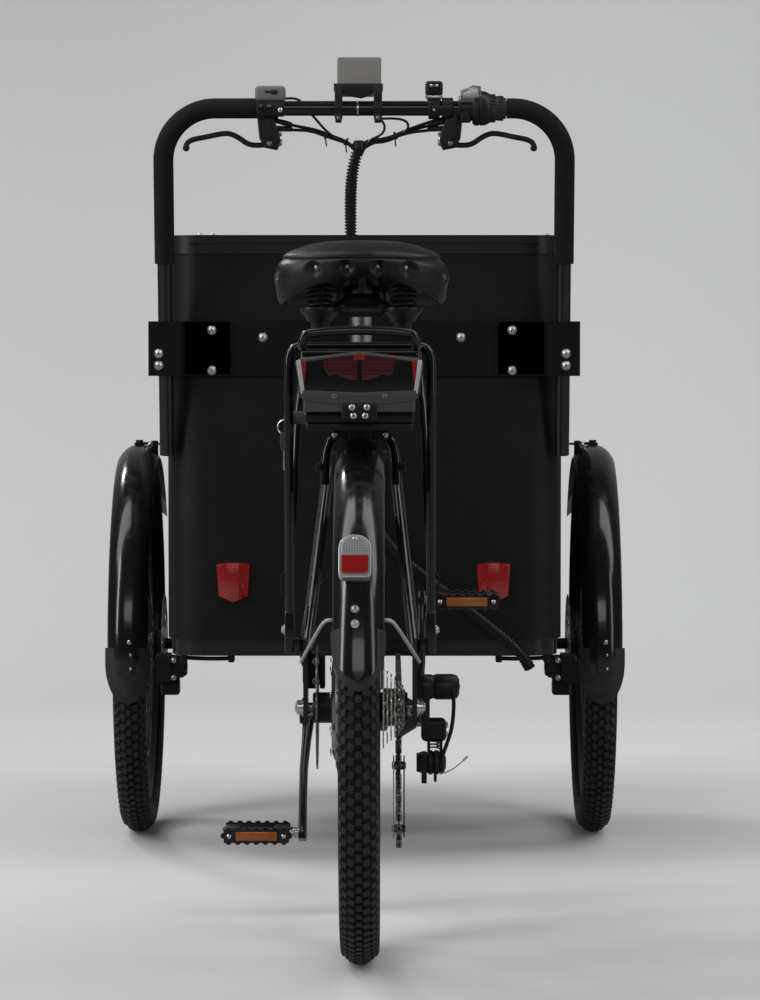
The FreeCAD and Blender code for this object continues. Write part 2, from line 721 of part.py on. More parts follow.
def rack():
    z = dim.rack_top
    half = dim.rack_half_width
    front = rear_y + 180
    rear = rear_y - 128
    r = dim.rack_tube
    hoop = tube([
        (-half, rear, z), (-half, rear - 6, z + 16), (0, rear - 8, z + 22), (half, rear - 6, z + 16), (half, rear, z)],
        r, [8, 150, 8])
    shapes = [rod((-half, front, z), (-half, rear, z), r), rod((half, front, z), (half, rear, z), r), hoop]
    for y in (front, rear + 60, rear_y + 60):
        shapes.append(rod((-half, y, z), (half, y, z), 4.5))
    for x in (-28, 28):
        shapes.append(rod((x, rear + 60, z), (x, front, z), 3.5))
    for sign in (-1, 1):
        leg = dim.rack_leg_x
        foot_z = rear_z + 80
        shapes.append(tube([
            (sign * half, rear_y - 20, z), (sign * leg, rear_y - 20, z - 10), (sign * leg, rear_y - 10, z - 60),
            (sign * leg, rear_y + 8, foot_z)], r, [7, 60]))
        plate = dim.dropout_gap / 2 + dim.dropout_thick
        shapes.append(rod((sign * plate, rear_y + 8, foot_z), (sign * (leg + 8), rear_y + 8, foot_z), 7))
        shapes.append(tube([
            (sign * half, rear_y + 150, z), (sign * (leg - 4), rear_y + 130, z - 60),
            (sign * leg, rear_y + 2, rear_z + 190)], 4.5, 40))
        shapes.append(tube([
            (sign * half, front, z), (sign * 62, front + 18, z - 22), (sign * 26, seat_y(680) - 4, 684),
            (sign * 18, seat_y(676), 676)], 4, [12, 12]))
    feature("rear_rack", fuse(shapes).cut(shape_of("rear_triangle")).cut(shape_of("main_frame")))
    # Battery and its sliding tray hang under the rack
    top = z - r - 2
    length = dim.battery_length
    back = rear - 4
    body = block((-dim.battery_width / 2, dim.battery_width / 2), (back, back + length),
                 (top - dim.battery_height, top))
    edges = [e for e in body.Edges if abs(e.tangentAt(e.FirstParameter).y) > 0.9]
    body = body.makeFillet(9, edges)
    feature("battery", body)
    tray_top = top - dim.battery_height
    tray = block((-62, 62), (back + 10, back + length - 10), (tray_top - 8, tray_top))
    foot = block((-16, 16), (rear_y - 12, rear_y + 26), (rear_z + dim.rear_tyre_radius + dim.guard_gap + 0.3, tray_top - 8))
    feature("battery_tray", fuse([tray, foot]))
    lens = block((-dim.battery_width / 2 - 2, dim.battery_width / 2 + 2), (back - dim.lamp_depth, back),
                 (top - dim.battery_height + 16, top + 1))
    lens = lens.makeFillet(5, [e for e in lens.Edges if e.BoundBox.YMax < back - 1])
    feature("tail_lamp", lens)


def rear_small():
    radius = dim.rear_tyre_radius + dim.guard_gap
    angle = math.radians(148)
    y = rear_y + radius * math.cos(angle)
    z = rear_z + radius * math.sin(angle)
    lamp = Part.makeBox(38, 20, 56, V(-19, 0, -28))
    lamp = lamp.makeFillet(8, [e for e in lamp.Edges if abs(e.tangentAt(e.FirstParameter).y) > 0.9])
    lamp.Placement = FreeCAD.Placement(V(0, y - 17, z + 8), FreeCAD.Rotation(ACROSS, -24))
    lamp = lamp.cut(guard_shape(0, rear_y, rear_z, radius + 0.2, dim.guard_width, 14, 120, 170))
    feature("guard_lamp", lamp)
    stays = []
    for sign in (-1, 1):
        edge = angle + math.radians(8)
        ey = rear_y + (radius - 12) * math.cos(edge)
        ez = rear_z + (radius - 12) * math.sin(edge)
        plate = dim.dropout_gap / 2 + dim.dropout_thick
        stays.append(tube([
            (sign * (dim.guard_width / 2 + 2.3), ey, ez), (sign * (dim.guard_width / 2 + 8), ey + 10, ez - 6),
            (sign * (plate + 2.5), rear_y - 8, rear_z + 62)], 2.3, 12))
    stays = [stay.cut(shape_of("rear_triangle")) for stay in stays]
    feature("guard_stays_rear", Part.makeCompound(stays))


def drive():
    half = dim.dropout_gap / 2
    x = 0
    shell = disc(x - 6, rear_y, rear_z, dim.motor_radius, 62)
    edge_list = [e for e in shell.Edges if e.Length > 100]
    shell = shell.makeFillet(8, edge_list[:1] + edge_list[-1:])
    for end in (-1, 1):
        shell = shell.fuse(disc(x - 6 + end * 24, rear_y, rear_z, dim.motor_radius + 6, 4))
    shell = shell.fuse(disc(x, rear_y, rear_z, 20, dim.dropout_gap - 12))
    rotor_x = -half + 12
    shell = shell.fuse(disc(rotor_x, rear_y, rear_z, dim.disc_radius, dim.disc_thick))
    shell = shell.cut(disc(x, rear_y, rear_z, 6.6, 200))
    wheel("rear", 0, rear_y, rear_z, dim.rear_tyre_radius, shell, dim.motor_radius + 4, 24, -6)
    cog_x = half - 8 - 14
    cogs = []
    for step in range(6):
        cogs.append(disc(cog_x + 10 - step * 5.0, rear_y, rear_z, dim.sprocket_radius - 14 + step * 4.2, 2.2))
    core = disc(cog_x - 2, rear_y, rear_z, dim.sprocket_radius - 20, 30)
    stack = fuse([core] + cogs).cut(disc(0, rear_y, rear_z, 20, 200))
    feature("cassette", stack.cut(shell))
    feature("brake_caliper_rear", brake_caliper(
        rotor_x, rear_y, rear_z, rear_y + 56, rear_z + 44, 1).cut(shape_of("rear_triangle")))


def axle_rear():
    half = dim.dropout_gap / 2 + dim.dropout_thick
    axle = disc(0, rear_y, rear_z, 6.2, 2 * half + 22)
    nuts = [axle]
    for sign in (-1, 1):
        nuts.append(rod((sign * half, rear_y, rear_z), (sign * (half + 10), rear_y, rear_z), 10))
    feature("rear_axle", fuse(nuts))


def cranks():
    tilt = math.radians(dim.crank_lean)
    ring = disc(dim.ring_x, crank_y, crank_z, dim.ring_radius, dim.ring_thick)
    window = []
    for index in range(5):
        angle = 2 * math.pi * index / 5 + 0.3
        window.append(disc(dim.ring_x, crank_y + 52 * math.cos(angle), crank_z + 52 * math.sin(angle), 15, 20))
    ring = ring.cut(Part.makeCompound(window)).cut(disc(dim.ring_x, crank_y, crank_z, 13, 20))
    feature("chainring", ring)
    arms = [disc(0, crank_y, crank_z, 12, 2 * 88)]
    for sign in (-1, 1):
        dy = sign * dim.crank_length * math.sin(tilt)
        dz = sign * dim.crank_length * math.cos(tilt)
        arm = Part.makeBox(12, 26, dim.crank_length, V(-6, -13, 0))
        arm = arm.fuse(Part.makeCylinder(16, 14, V(-7, 0, 0), ACROSS))
        arm = arm.fuse(Part.makeCylinder(13, 12, V(-6, 0, dim.crank_length), ACROSS))
        arm.Placement = FreeCAD.Placement(V(sign * 84, crank_y, crank_z), FreeCAD.Rotation(UP, V(0, dy, dz)))
        spindle = rod((sign * 84, crank_y + dy, crank_z + dz), (sign * (dim.pedal_x + 44), crank_y + dy, crank_z + dz), 5)
        arms += [arm, spindle]
    spider = rod((dim.ring_x + dim.ring_thick / 2, crank_y, crank_z), (84, crank_y, crank_z), 20)
    feature("cranks", fuse(arms + [spider]))
    for side, sign in SIDES:
        y = crank_y + sign * dim.crank_length * math.sin(tilt)
        z = crank_z + sign * dim.crank_length * math.cos(tilt)
        x = sign * dim.pedal_x
        body = block((x - dim.pedal_width / 2, x + dim.pedal_width / 2),
                     (y - dim.pedal_length / 2, y + dim.pedal_length / 2),
                     (z - dim.pedal_height / 2, z + dim.pedal_height / 2))
        body = body.makeChamfer(14, [e for e in body.Edges if abs(e.tangentAt(e.FirstParameter).z) > 0.9])
        for end in (-1, 1):
            y0 = y + end * dim.pedal_length * 0.24
            body = body.cut(block((x - 32, x + 32), (y0 - 10, y0 + 10), (z - 30, z + 30)))
        body = body.cut(rod((x - 60, y, z), (x + 60, y, z), 5.4))
        feature("pedal_" + side, body)


def chain_line(radius_front, radius_back, half_width):
    """The chain's upper and lower run round the ring and the sprocket, as one flat loop."""
    x = dim.ring_x
    front = Part.makeCylinder(radius_front, 2 * half_width, V(x - half_width, crank_y, crank_z), ACROSS)
    back = Part.makeCylinder(radius_back, 2 * half_width, V(x - half_width, rear_y, rear_z), ACROSS)
    span = V(0, rear_y - crank_y, rear_z - crank_z)
    length = span.Length
    angle = math.acos((radius_front - radius_back) / length)
    base = math.atan2(span.z, span.y)
    corners = []
    for center_y, center_z, radius, sign in (
            (crank_y, crank_z, radius_front, 1), (rear_y, rear_z, radius_back, 1),
            (rear_y, rear_z, radius_back, -1), (crank_y, crank_z, radius_front, -1)):
        turn = base + sign * angle
        corners.append(V(x - half_width, center_y + radius * math.cos(turn), center_z + radius * math.sin(turn)))
    middle = Part.Face(Part.makePolygon(corners + corners[:1])).extrude(V(2 * half_width, 0, 0))
    return front.fuse([back, middle]).removeSplitter()


def chain():
    inner = 0.6
    loop = chain_line(dim.ring_radius + inner + dim.chain_height, dim.sprocket_radius + inner + dim.chain_height,
                      dim.chain_width / 2)
    hole = chain_line(dim.ring_radius + inner, dim.sprocket_radius + inner, dim.chain_width)
    feature("chain", loop.cut(hole))


def derailleur():
    x = dim.ring_x
    plate = dim.dropout_gap / 2 + dim.dropout_thick
    body = block((plate, plate + 34), (rear_y - 8, rear_y + 28), (rear_z - 66, rear_z - 28))
    body = body.makeFillet(7, [e for e in body.Edges if abs(e.tangentAt(e.FirstParameter).x) > 0.9])
    arm = block((plate, plate + 8), (rear_y - 10, rear_y + 16), (rear_z - 40, rear_z - 12))
    cage_top = rear_z - 70
    parts = [body, arm]
    for off in (-7, 7):
        cage = block((x + off - 1, x + off + 1), (rear_y + 4, rear_y + 34), (cage_top - 96, cage_top))
        parts.append(cage)
    link = rod((x - 8, rear_y + 16, cage_top - 10), (plate + 10, rear_y + 16, cage_top - 10), 6)
    post = block((plate + 2, plate + 14), (rear_y + 6, rear_y + 26), (cage_top - 16, rear_z - 60))
    wheels = []
    for z in (cage_top - 16, cage_top - 80):
        wheels.append(rod((x - 8, rear_y + 18, z), (x + 8, rear_y + 18, z), 4))
        wheels.append(disc(x, rear_y + 18, z, dim.pulley_radius, 4))
    feature("derailleur", fuse(parts + [link, post] + wheels))


for build in (load_box, base_frame, steering, front_axle, front_wheels, mudguards, guard_brackets, handlebar,
              controls, loom, reflectors, headlamp, main_frame, rear_triangle, seat, rack, rear_small, drive,
              axle_rear, cranks, chain, derailleur):
    build()

doc.recompute()

failed = []
for item in doc.Objects:
    if "Invalid" in item.State or "Error" in item.State:
        failed.append(item.Name)
for item in NODES:
    if item.Shape.isNull() or not item.Shape.isValid():
        failed.append(item.Label)
if failed:
    raise RuntimeError("Failed objects: " + ", ".join(failed))

os.makedirs("parts", exist_ok=True)
for item in NODES:
    item.Shape.exportStep(os.path.join("parts", item.Label + ".step"))
    print(item.Label, len(item.Shape.Solids), round(item.Shape.Volume))
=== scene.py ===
# %% [markdown]
# # A cargo tricycle, dressed for its portrait
# The metal and plastic solids come from a CAD model, which is loaded as a fixed frame. This lesson gives
# each solid its finish, and replaces the ones that need more than a plain solid: tyres with their tread,
# wheels with round spokes, a chain of links, coil springs, lamps with lenses and a moulded saddle.
# Everything is in metres. Z is up, Y is the way the vehicle rides and X is the rider's right.

# %% Load the frame
import bpy
import bmesh
import math
from mathutils import Matrix, Vector


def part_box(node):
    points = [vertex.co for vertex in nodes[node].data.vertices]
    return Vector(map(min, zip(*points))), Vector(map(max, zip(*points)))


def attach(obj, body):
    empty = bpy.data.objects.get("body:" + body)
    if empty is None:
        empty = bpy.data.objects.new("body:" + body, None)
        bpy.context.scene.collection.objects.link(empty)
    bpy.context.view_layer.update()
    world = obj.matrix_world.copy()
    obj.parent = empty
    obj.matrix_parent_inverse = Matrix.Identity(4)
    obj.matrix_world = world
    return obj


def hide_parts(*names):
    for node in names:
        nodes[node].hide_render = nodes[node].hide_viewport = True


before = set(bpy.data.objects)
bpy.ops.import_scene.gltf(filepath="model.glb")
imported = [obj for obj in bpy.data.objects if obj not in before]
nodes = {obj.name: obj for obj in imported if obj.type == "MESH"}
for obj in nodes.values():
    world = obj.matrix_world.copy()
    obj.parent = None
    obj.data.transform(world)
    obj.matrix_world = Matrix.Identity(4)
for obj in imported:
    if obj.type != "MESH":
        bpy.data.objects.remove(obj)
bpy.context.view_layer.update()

# %% [markdown]
# ## Places that many pieces share
# The wheels' centres, the crank's axle and the box's back are needed again and again, so they are read
# once from the frame. A node's box gives its middle, which is surer than typing the same number twice.

# %% Shared places
def middle(node):
    low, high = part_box(node)
    return (low + high) / 2


UP = Vector((0, 0, 1))
ACROSS = Vector((1, 0, 0))
ALONG = Vector((0, 1, 0))
SIDES = (("left", -1), ("right", 1))
rear_hub = middle("rim_rear")
front_hub = {side: middle("rim_front_" + side) for side, sign in SIDES}
rear_radius = (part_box("tyre_rear")[1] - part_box("tyre_rear")[0]).z / 2
front_radius = (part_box("tyre_front_left")[1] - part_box("tyre_front_left")[0]).z / 2
crank_hub = middle("chainring")
box_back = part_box("box_rear_panel")[0].y
print("rear wheel", tuple(round(v, 4) for v in rear_hub), "box back", round(box_back, 4))

# %% [markdown]
# ## The camera
# The photograph is taken from behind with a long lens, a little above saddle height, so upright lines
# stay almost upright. The lens is given for a 36 mm sensor along the picture's long side. The camera
# looks down by less than three degrees and a hair to the left.

# %% Set the camera
LENS = 140.5
EYE = Vector((0.037, -5.761, 0.836))
LOOK_DOWN = math.radians(2.68)
LOOK_LEFT = math.radians(0.13)

camera = bpy.data.objects.new("camera", bpy.data.cameras.new("camera"))
bpy.context.collection.objects.link(camera)
camera.location = EYE
camera.rotation_euler = (math.pi / 2 - LOOK_DOWN, 0, LOOK_LEFT)
camera.data.lens = LENS
camera.data.sensor_width = 36
bpy.context.scene.camera = camera
print("camera", tuple(EYE), "lens", LENS)

# %% [markdown]
# ## Sums on shader sockets
# A finish is a tree of nodes, and most of the nodes are plain sums: noise times a half plus a tenth.
# Written as Python sums they read like a recipe. Signal wraps one socket, and each sign adds the Math
# node that does the sum.

# %% Signal and Finish
class Signal:
    """One socket of a finish, for Python's own signs."""

    def __init__(self, finish, socket):
        self.finish = finish
        self.socket = socket

    def sums(self, operation, first, second):
        return self.finish.add("ShaderNodeMath", {"operation": operation}, {0: first, 1: second})

    def __add__(self, other):
        return self.sums("ADD", self, other)

    def __radd__(self, other):
        return self.sums("ADD", other, self)

    def __sub__(self, other):
        return self.sums("SUBTRACT", self, other)

    def __rsub__(self, other):
        return self.sums("SUBTRACT", other, self)

    def __mul__(self, other):
        return self.sums("MULTIPLY", self, other)

    def __rmul__(self, other):
        return self.sums("MULTIPLY", other, self)

    def __pow__(self, other):
        return self.sums("POWER", self, other)

    def __gt__(self, other):
        return self.sums("GREATER_THAN", self, other)


class Finish:
    """A material while it is being made: its shader, and ways to add nodes in front of it."""

    def __init__(self, name, colour, roughness, **constants):
        self.material = bpy.data.materials.new(name)
        self.material.use_nodes = True
        self.tree = self.material.node_tree
        self.shader = self.tree.nodes["Principled BSDF"]
        self.feed("Base Color", (*colour, 1))
        self.feed("Roughness", roughness)
        for socket, value in constants.items():
            self.feed(socket.replace("_", " "), value)
        self.place = self.add("ShaderNodeTexCoord", {}, {}, "Object")
        FINISHES[name] = self.material

    def add(self, kind, settings, sockets, output=0):
        """Adds a node: its settings first, then its sockets' values or links."""
        node = self.tree.nodes.new(kind)
        for name, value in settings.items():
            setattr(node, name, value)
        for key, value in sockets.items():
            self.join(node.inputs[key], value)
        return Signal(self, node.outputs[output])

    def join(self, socket, value):
        if isinstance(value, Signal):
            self.tree.links.new(value.socket, socket)
        else:
            socket.default_value = value

    def feed(self, socket, value):
        """Sets or links one socket of the shader."""
        self.join(self.shader.inputs[socket], value)

    def noise(self, scale, detail=2.0, rough=0.5, at=None):
        vector = at or self.place
        return self.add("ShaderNodeTexNoise", {}, {
            "Vector": vector, "Scale": scale, "Detail": detail, "Roughness": rough})

    def cells(self, scale, feature="F1"):
        return self.add("ShaderNodeTexVoronoi", {"feature": feature}, {"Vector": self.place, "Scale": scale},
                        "Distance")

    def between(self, value, low, high):
        """Stretches the values from low to high over 0 to 1, smooth at both ends."""
        return self.add("ShaderNodeMapRange", {"interpolation_type": "SMOOTHSTEP"}, {
            "Value": value, "From Min": low, "From Max": high})

    def mix(self, factor, first, second):
        """A colour between two, by a factor."""
        first = first if isinstance(first, Signal) else (*first, 1)
        second = second if isinstance(second, Signal) else (*second, 1)
        return self.add("ShaderNodeMix", {"data_type": "RGBA"}, {0: factor, 6: first, 7: second}, 2)

    def bump(self, height, distance, strength=1.0):
        self.feed("Normal", self.add("ShaderNodeBump", {}, {
            "Height": height, "Distance": distance, "Strength": strength}))

    def upward(self):
        """How much a surface faces up, where dust settles."""
        normal = self.add("ShaderNodeNewGeometry", {}, {}, "Normal")
        split = self.add("ShaderNodeSeparateXYZ", {}, {0: normal}, 2)
        return self.between(split, 0.3, 1.0)


FINISHES = {}

# %% [markdown]
# ## Finishes
# The whole vehicle is black, so the finishes differ by how they shine. Wet-looking lacquer on the guards
# and the base tube, powder coat with a fine orange peel on the rack, a grained matt skin on the load box,
# chalky rubber on the tyres. Each gets a faint unevenness in its shine, because a perfectly even black
# looks like a hole in the picture.

# %% Painted and coated metal
def lacquer():
    finish = Finish("black_lacquer", (0.006, 0.006, 0.0065), 0.22, Specular_IOR_Level=0.35, Coat_Weight=0.35,
                    Coat_Roughness=0.05)
    haze = finish.noise(7, 3)
    dust = finish.upward() * finish.between(finish.noise(60, 5), 0.45, 0.75)
    finish.feed("Base Color", finish.mix(dust * 0.08, (0.006, 0.006, 0.0065), (0.14, 0.135, 0.125)))
    finish.feed("Roughness", haze * 0.14 + dust * 0.2 + 0.12)
    finish.bump(finish.noise(260, 1), 0.00006, 0.5)


def powder_coat():
    finish = Finish("powder_coat", (0.009, 0.009, 0.0095), 0.42, Specular_IOR_Level=0.3)
    peel = finish.noise(900, 2)
    dust = finish.upward() * finish.between(finish.noise(45, 5), 0.4, 0.8)
    finish.feed("Base Color", finish.mix(dust * 0.12, (0.009, 0.009, 0.0095), (0.12, 0.116, 0.11)))
    finish.feed("Roughness", finish.noise(12, 2) * 0.14 + 0.32)
    finish.bump(peel, 0.00012, 0.5)


def bright_steel():
    finish = Finish("bright_steel", (0.62, 0.62, 0.6), 0.25, Metallic=1.0)
    stains = finish.between(finish.noise(90, 4), 0.5, 0.8)
    finish.feed("Base Color", finish.mix(stains * 0.5, (0.66, 0.66, 0.64), (0.34, 0.32, 0.29)))
    finish.feed("Roughness", finish.noise(140, 3) * 0.25 + 0.14)


def brushed_alloy():
    finish = Finish("brushed_alloy", (0.5, 0.5, 0.5), 0.34, Metallic=1.0)
    stretched = finish.add("ShaderNodeMapping", {}, {"Vector": finish.place, "Scale": (90, 90, 900)})
    streaks = finish.noise(1, 2, at=stretched)
    finish.feed("Roughness", streaks * 0.25 + 0.22)
    finish.feed("Base Color", finish.mix(streaks, (0.4, 0.4, 0.4), (0.58, 0.58, 0.57)))
    finish.bump(streaks, 0.00003, 0.5)


def oiled_steel():
    finish = Finish("oiled_steel", (0.2, 0.19, 0.18), 0.36, Metallic=1.0)
    grime = finish.between(finish.noise(160, 4), 0.42, 0.72)
    finish.feed("Base Color", finish.mix(grime, (0.3, 0.29, 0.27), (0.035, 0.03, 0.026)))
    finish.feed("Metallic", 1 - grime * 0.6)
    finish.feed("Roughness", grime * 0.3 + 0.26)


for make in (lacquer, powder_coat, bright_steel, brushed_alloy, oiled_steel):
    make()
print("metal finishes", sorted(FINISHES))

# %% [markdown]
# ## Plastic and rubber
# Moulded plastic shows the grain of its mould, foam shows open pores and a tyre shows road dust in its
# hollows. The grain is bump, at its real scale of a few tenths of a millimetre.

# %% Plastic and rubber
def box_skin():
    finish = Finish("box_skin", (0.007, 0.007, 0.0075), 0.55, Specular_IOR_Level=0.2)
    grain = finish.cells(1400)
    scuffs = finish.between(finish.noise(9, 6, 0.62), 0.52, 0.74)
    finish.feed("Base Color", finish.mix(scuffs * 0.5, (0.0065, 0.0065, 0.007), (0.014, 0.014, 0.0145)))
    finish.feed("Roughness", finish.noise(5, 3) * 0.14 + 0.4)
    finish.bump(grain, 0.00022, 0.45)


def tyre_rubber():
    finish = Finish("tyre_rubber", (0.008, 0.008, 0.008), 0.7, Specular_IOR_Level=0.25)
    dust = finish.between(finish.noise(38, 6, 0.6), 0.42, 0.75)
    finish.feed("Base Color", finish.mix(dust * 0.5, (0.0075, 0.0075, 0.008), (0.026, 0.0245, 0.0225)))
    finish.feed("Roughness", dust * 0.2 + 0.58)
    finish.bump(finish.noise(700, 3), 0.0002, 0.5)


def lit_tread_rubber():
    # Painted light: the tread blocks' rubber is a lighter copy of the casing's rubber, their tops painted
    # paler than the shaded casing between them. Its dust mask is road dust.
    finish = Finish("lit_tread_rubber", (0.016, 0.016, 0.016), 0.6, Specular_IOR_Level=0.35)
    dust = finish.between(finish.noise(38, 6, 0.6), 0.42, 0.75)
    finish.feed("Base Color", finish.mix(dust * 0.5, (0.014, 0.014, 0.0145), (0.042, 0.040, 0.037)))
    finish.feed("Roughness", dust * 0.2 + 0.46)
    finish.bump(finish.noise(700, 3), 0.0002, 0.5)


def foam():
    finish = Finish("foam", (0.008, 0.008, 0.0085), 0.85, Specular_IOR_Level=0.15)
    pores = finish.cells(1100)
    # Painted shade: the colour is darker at each pore's middle, where the bump is lowest.
    finish.feed("Base Color", finish.mix(pores, (0.005, 0.005, 0.005), (0.013, 0.013, 0.0135)))
    finish.feed("Roughness", finish.noise(30, 2) * 0.16 + 0.74)
    finish.bump(pores, 0.0004, 0.6)


def moulded_plastic():
    finish = Finish("moulded_plastic", (0.007, 0.007, 0.0075), 0.42, Specular_IOR_Level=0.3)
    finish.feed("Roughness", finish.noise(25, 3) * 0.16 + 0.3)
    finish.feed("Base Color", finish.mix(finish.noise(14, 4), (0.006, 0.006, 0.0065), (0.011, 0.011, 0.0115)))
    finish.bump(finish.cells(1800), 0.0001, 0.35)


def flap_rubber():
    finish = Finish("flap_rubber", (0.022, 0.022, 0.0225), 0.6, Specular_IOR_Level=0.3)
    splashes = finish.between(finish.noise(55, 5, 0.6), 0.5, 0.72)
    finish.feed("Base Color", finish.mix(splashes * 0.4, (0.021, 0.021, 0.0215), (0.05, 0.0485, 0.046)))
    finish.feed("Roughness", splashes * 0.14 + 0.56)
    finish.bump(finish.noise(900, 2), 0.0001, 0.5)


def saddle_cover():
    finish = Finish("saddle_cover", (0.008, 0.008, 0.0085), 0.42, Specular_IOR_Level=0.3)
    grain = finish.cells(620)
    creases = finish.cells(260, "DISTANCE_TO_EDGE")
    worn = finish.between(finish.noise(16, 4), 0.4, 0.7)
    finish.feed("Roughness", worn * 0.12 + 0.3)
    finish.feed("Base Color", finish.mix(worn, (0.007, 0.007, 0.0075), (0.014, 0.014, 0.0145)))
    finish.bump(grain * 0.5 + finish.between(creases, 0.0, 0.06), 0.00022, 0.4)


def cable_wrap():
    finish = Finish("cable_wrap", (0.007, 0.007, 0.007), 0.4, Specular_IOR_Level=0.35)
    finish.feed("Roughness", finish.noise(80, 2) * 0.18 + 0.28)
    finish.bump(finish.noise(420, 2), 0.00008, 0.5)


def satin_case():
    finish = Finish("satin_case", (0.05, 0.05, 0.05), 0.32, Specular_IOR_Level=0.6)
    finish.feed("Roughness", finish.noise(40, 3) * 0.14 + 0.24)
    finish.bump(finish.cells(1500), 0.00008, 0.3)


def pearl():
    finish = Finish("pearl", (0.42, 0.42, 0.41), 0.3)
    finish.feed("Roughness", finish.noise(90, 2) * 0.2 + 0.2)
    finish.feed("Base Color", finish.mix(finish.noise(60, 3), (0.36, 0.36, 0.35), (0.5, 0.5, 0.49)))


for make in (satin_case, pearl, box_skin, tyre_rubber, lit_tread_rubber, foam, moulded_plastic, flap_rubber,
             saddle_cover, cable_wrap):
    make()

# %% [markdown]
# ## Lenses and the display's glass
# A lens is a clear moulding over a field of small prisms. It is made here as a glossy coat over a
# coloured body whose bump is a grid of small pyramids, which catches the studio's lights as real prisms
# do and survives an export. The body's colour is painted deeper in the pit of each pyramid, a painted
# shade in each prism's hollow.

# %% Lenses and glass
def prism_lens(name, colour, deep, pitch, metallic=0.0):
    finish = Finish(name, colour, 0.14, Metallic=metallic, Coat_Weight=1.0, Coat_Roughness=0.03)
    grid = finish.add("ShaderNodeVectorMath", {"operation": "SCALE"}, {0: finish.place, "Scale": 1 / pitch})
    cell = finish.add("ShaderNodeVectorMath", {"operation": "FRACTION"}, {0: grid})
    parts = [finish.add("ShaderNodeSeparateXYZ", {}, {0: cell}, axis) for axis in (0, 2)]
    slopes = [finish.add("ShaderNodeMath", {"operation": "ABSOLUTE"}, {0: part - 0.5}) for part in parts]
    pyramid = slopes[0] + slopes[1]
    # Painted shade: the colour darkens to the deep colour in each pyramid's pit, where the bump is lowest.
    finish.feed("Base Color", finish.mix(pyramid, deep, colour))
    finish.bump(pyramid, pitch * 0.3, 0.25)


prism_lens("red_lens", (0.34, 0.008, 0.008), (0.12, 0.002, 0.002), 0.0026)
prism_lens("dark_red_lens", (0.075, 0.0025, 0.003), (0.03, 0.001, 0.001), 0.004)
prism_lens("amber_lens", (0.42, 0.12, 0.012), (0.2, 0.045, 0.004), 0.0026)
prism_lens("clear_lens", (0.62, 0.62, 0.6), (0.3, 0.3, 0.29), 0.0032, 0.55)


def display_glass():
    finish = Finish("display_glass", (0.006, 0.0062, 0.0065), 0.2, Specular_IOR_Level=0.3, Coat_Weight=0.3,
                    Coat_Roughness=0.04)
    finish.feed("Roughness", finish.noise(70, 3) * 0.16 + 0.1)
    finish.feed("Base Color",
                finish.mix(finish.noise(20, 2), (0.005, 0.0052, 0.0055), (0.008, 0.0082, 0.0086)))


display_glass()
print("finishes", len(FINISHES))

# %% [markdown]
# ## The studio
# One sheet of pale paper runs along the floor and up behind the vehicle. Big soft lamps above and at both
# sides make the long grey gradients that show a black object's shape. Only the camera's own rays see the
# paper at its full paleness, and mirrored rays find a dim world, so neither washes out the black. The
# paper's colour also carries painted light: it is painted darker toward the sheet's near end, where the
# camera stands, as painted shade, and paler toward the far end and the right, as a painted pool of light.
# The paper has no back: a view from beyond the sheet sees the vehicle through it.

# %% Paper, lamps and world
def paper_sheet():
    width, near, far, height, bend = 14.0, -9.0, 5.0, 7.0, 2.4
    line = [(near, 0.0), (far - bend, 0.0)]
    line += [(far - bend + bend * math.sin(a), bend - bend * math.cos(a))
             for a in [math.pi / 2 * step / 16 for step in range(1, 17)]]
    line += [(far, height)]
    mesh = bpy.data.meshes.new("paper")
    points = [(x, y, z) for y, z in line for x in (-width / 2, width / 2)]
    faces = [(2 * i, 2 * i + 1, 2 * i + 3, 2 * i + 2) for i in range(len(line) - 1)]
    mesh.from_pydata(points, [], faces)
    mesh.shade_smooth()
    paper = bpy.data.objects.new("paper", mesh)
    bpy.context.collection.objects.link(paper)
    finish = Finish("paper", (0.6, 0.605, 0.6), 0.85, Specular_IOR_Level=0.15)
    across, ahead = [finish.add("ShaderNodeSeparateXYZ", {}, {0: finish.place}, axis) for axis in (0, 1)]
    # Painted light and shade: the colour grows paler toward the right and the far end and darker toward the
    # near end; the noise adds a random mottle.
    painted_light_and_mottle = finish.between(across, -0.9, 0.9) * 0.3 + 0.5
    painted_light_and_mottle = finish.between(ahead, -2.4, 1.2) * painted_light_and_mottle + finish.noise(0.8, 3) * 0.12
    seen = finish.mix(painted_light_and_mottle, (0.45, 0.45, 0.45), (0.78, 0.785, 0.78))
    camera_ray = finish.add("ShaderNodeLightPath", {}, {}, "Is Camera Ray")
    finish.feed("Base Color", finish.mix(camera_ray, (0.3, 0.3, 0.3), seen))
    back = finish.add("ShaderNodeNewGeometry", {}, {}, "Backfacing")
    clear = finish.add("ShaderNodeBsdfTransparent", {}, {})
    front = Signal(finish, finish.shader.outputs[0])
    sheet = finish.add("ShaderNodeMixShader", {}, {0: back, 1: front, 2: clear})
    finish.join(finish.tree.nodes["Material Output"].inputs["Surface"], sheet)
    mesh.materials.append(finish.material)


def soft_lamp(name, place, aim, size, power):
    light = bpy.data.lights.new(name, "AREA")
    light.shape = "RECTANGLE"
    light.size, light.size_y = size
    light.energy = power
    lamp = bpy.data.objects.new(name, light)
    bpy.context.collection.objects.link(lamp)
    lamp.location = place
    lamp.rotation_euler = (Vector(aim) - Vector(place)).to_track_quat("-Z", "Y").to_euler()


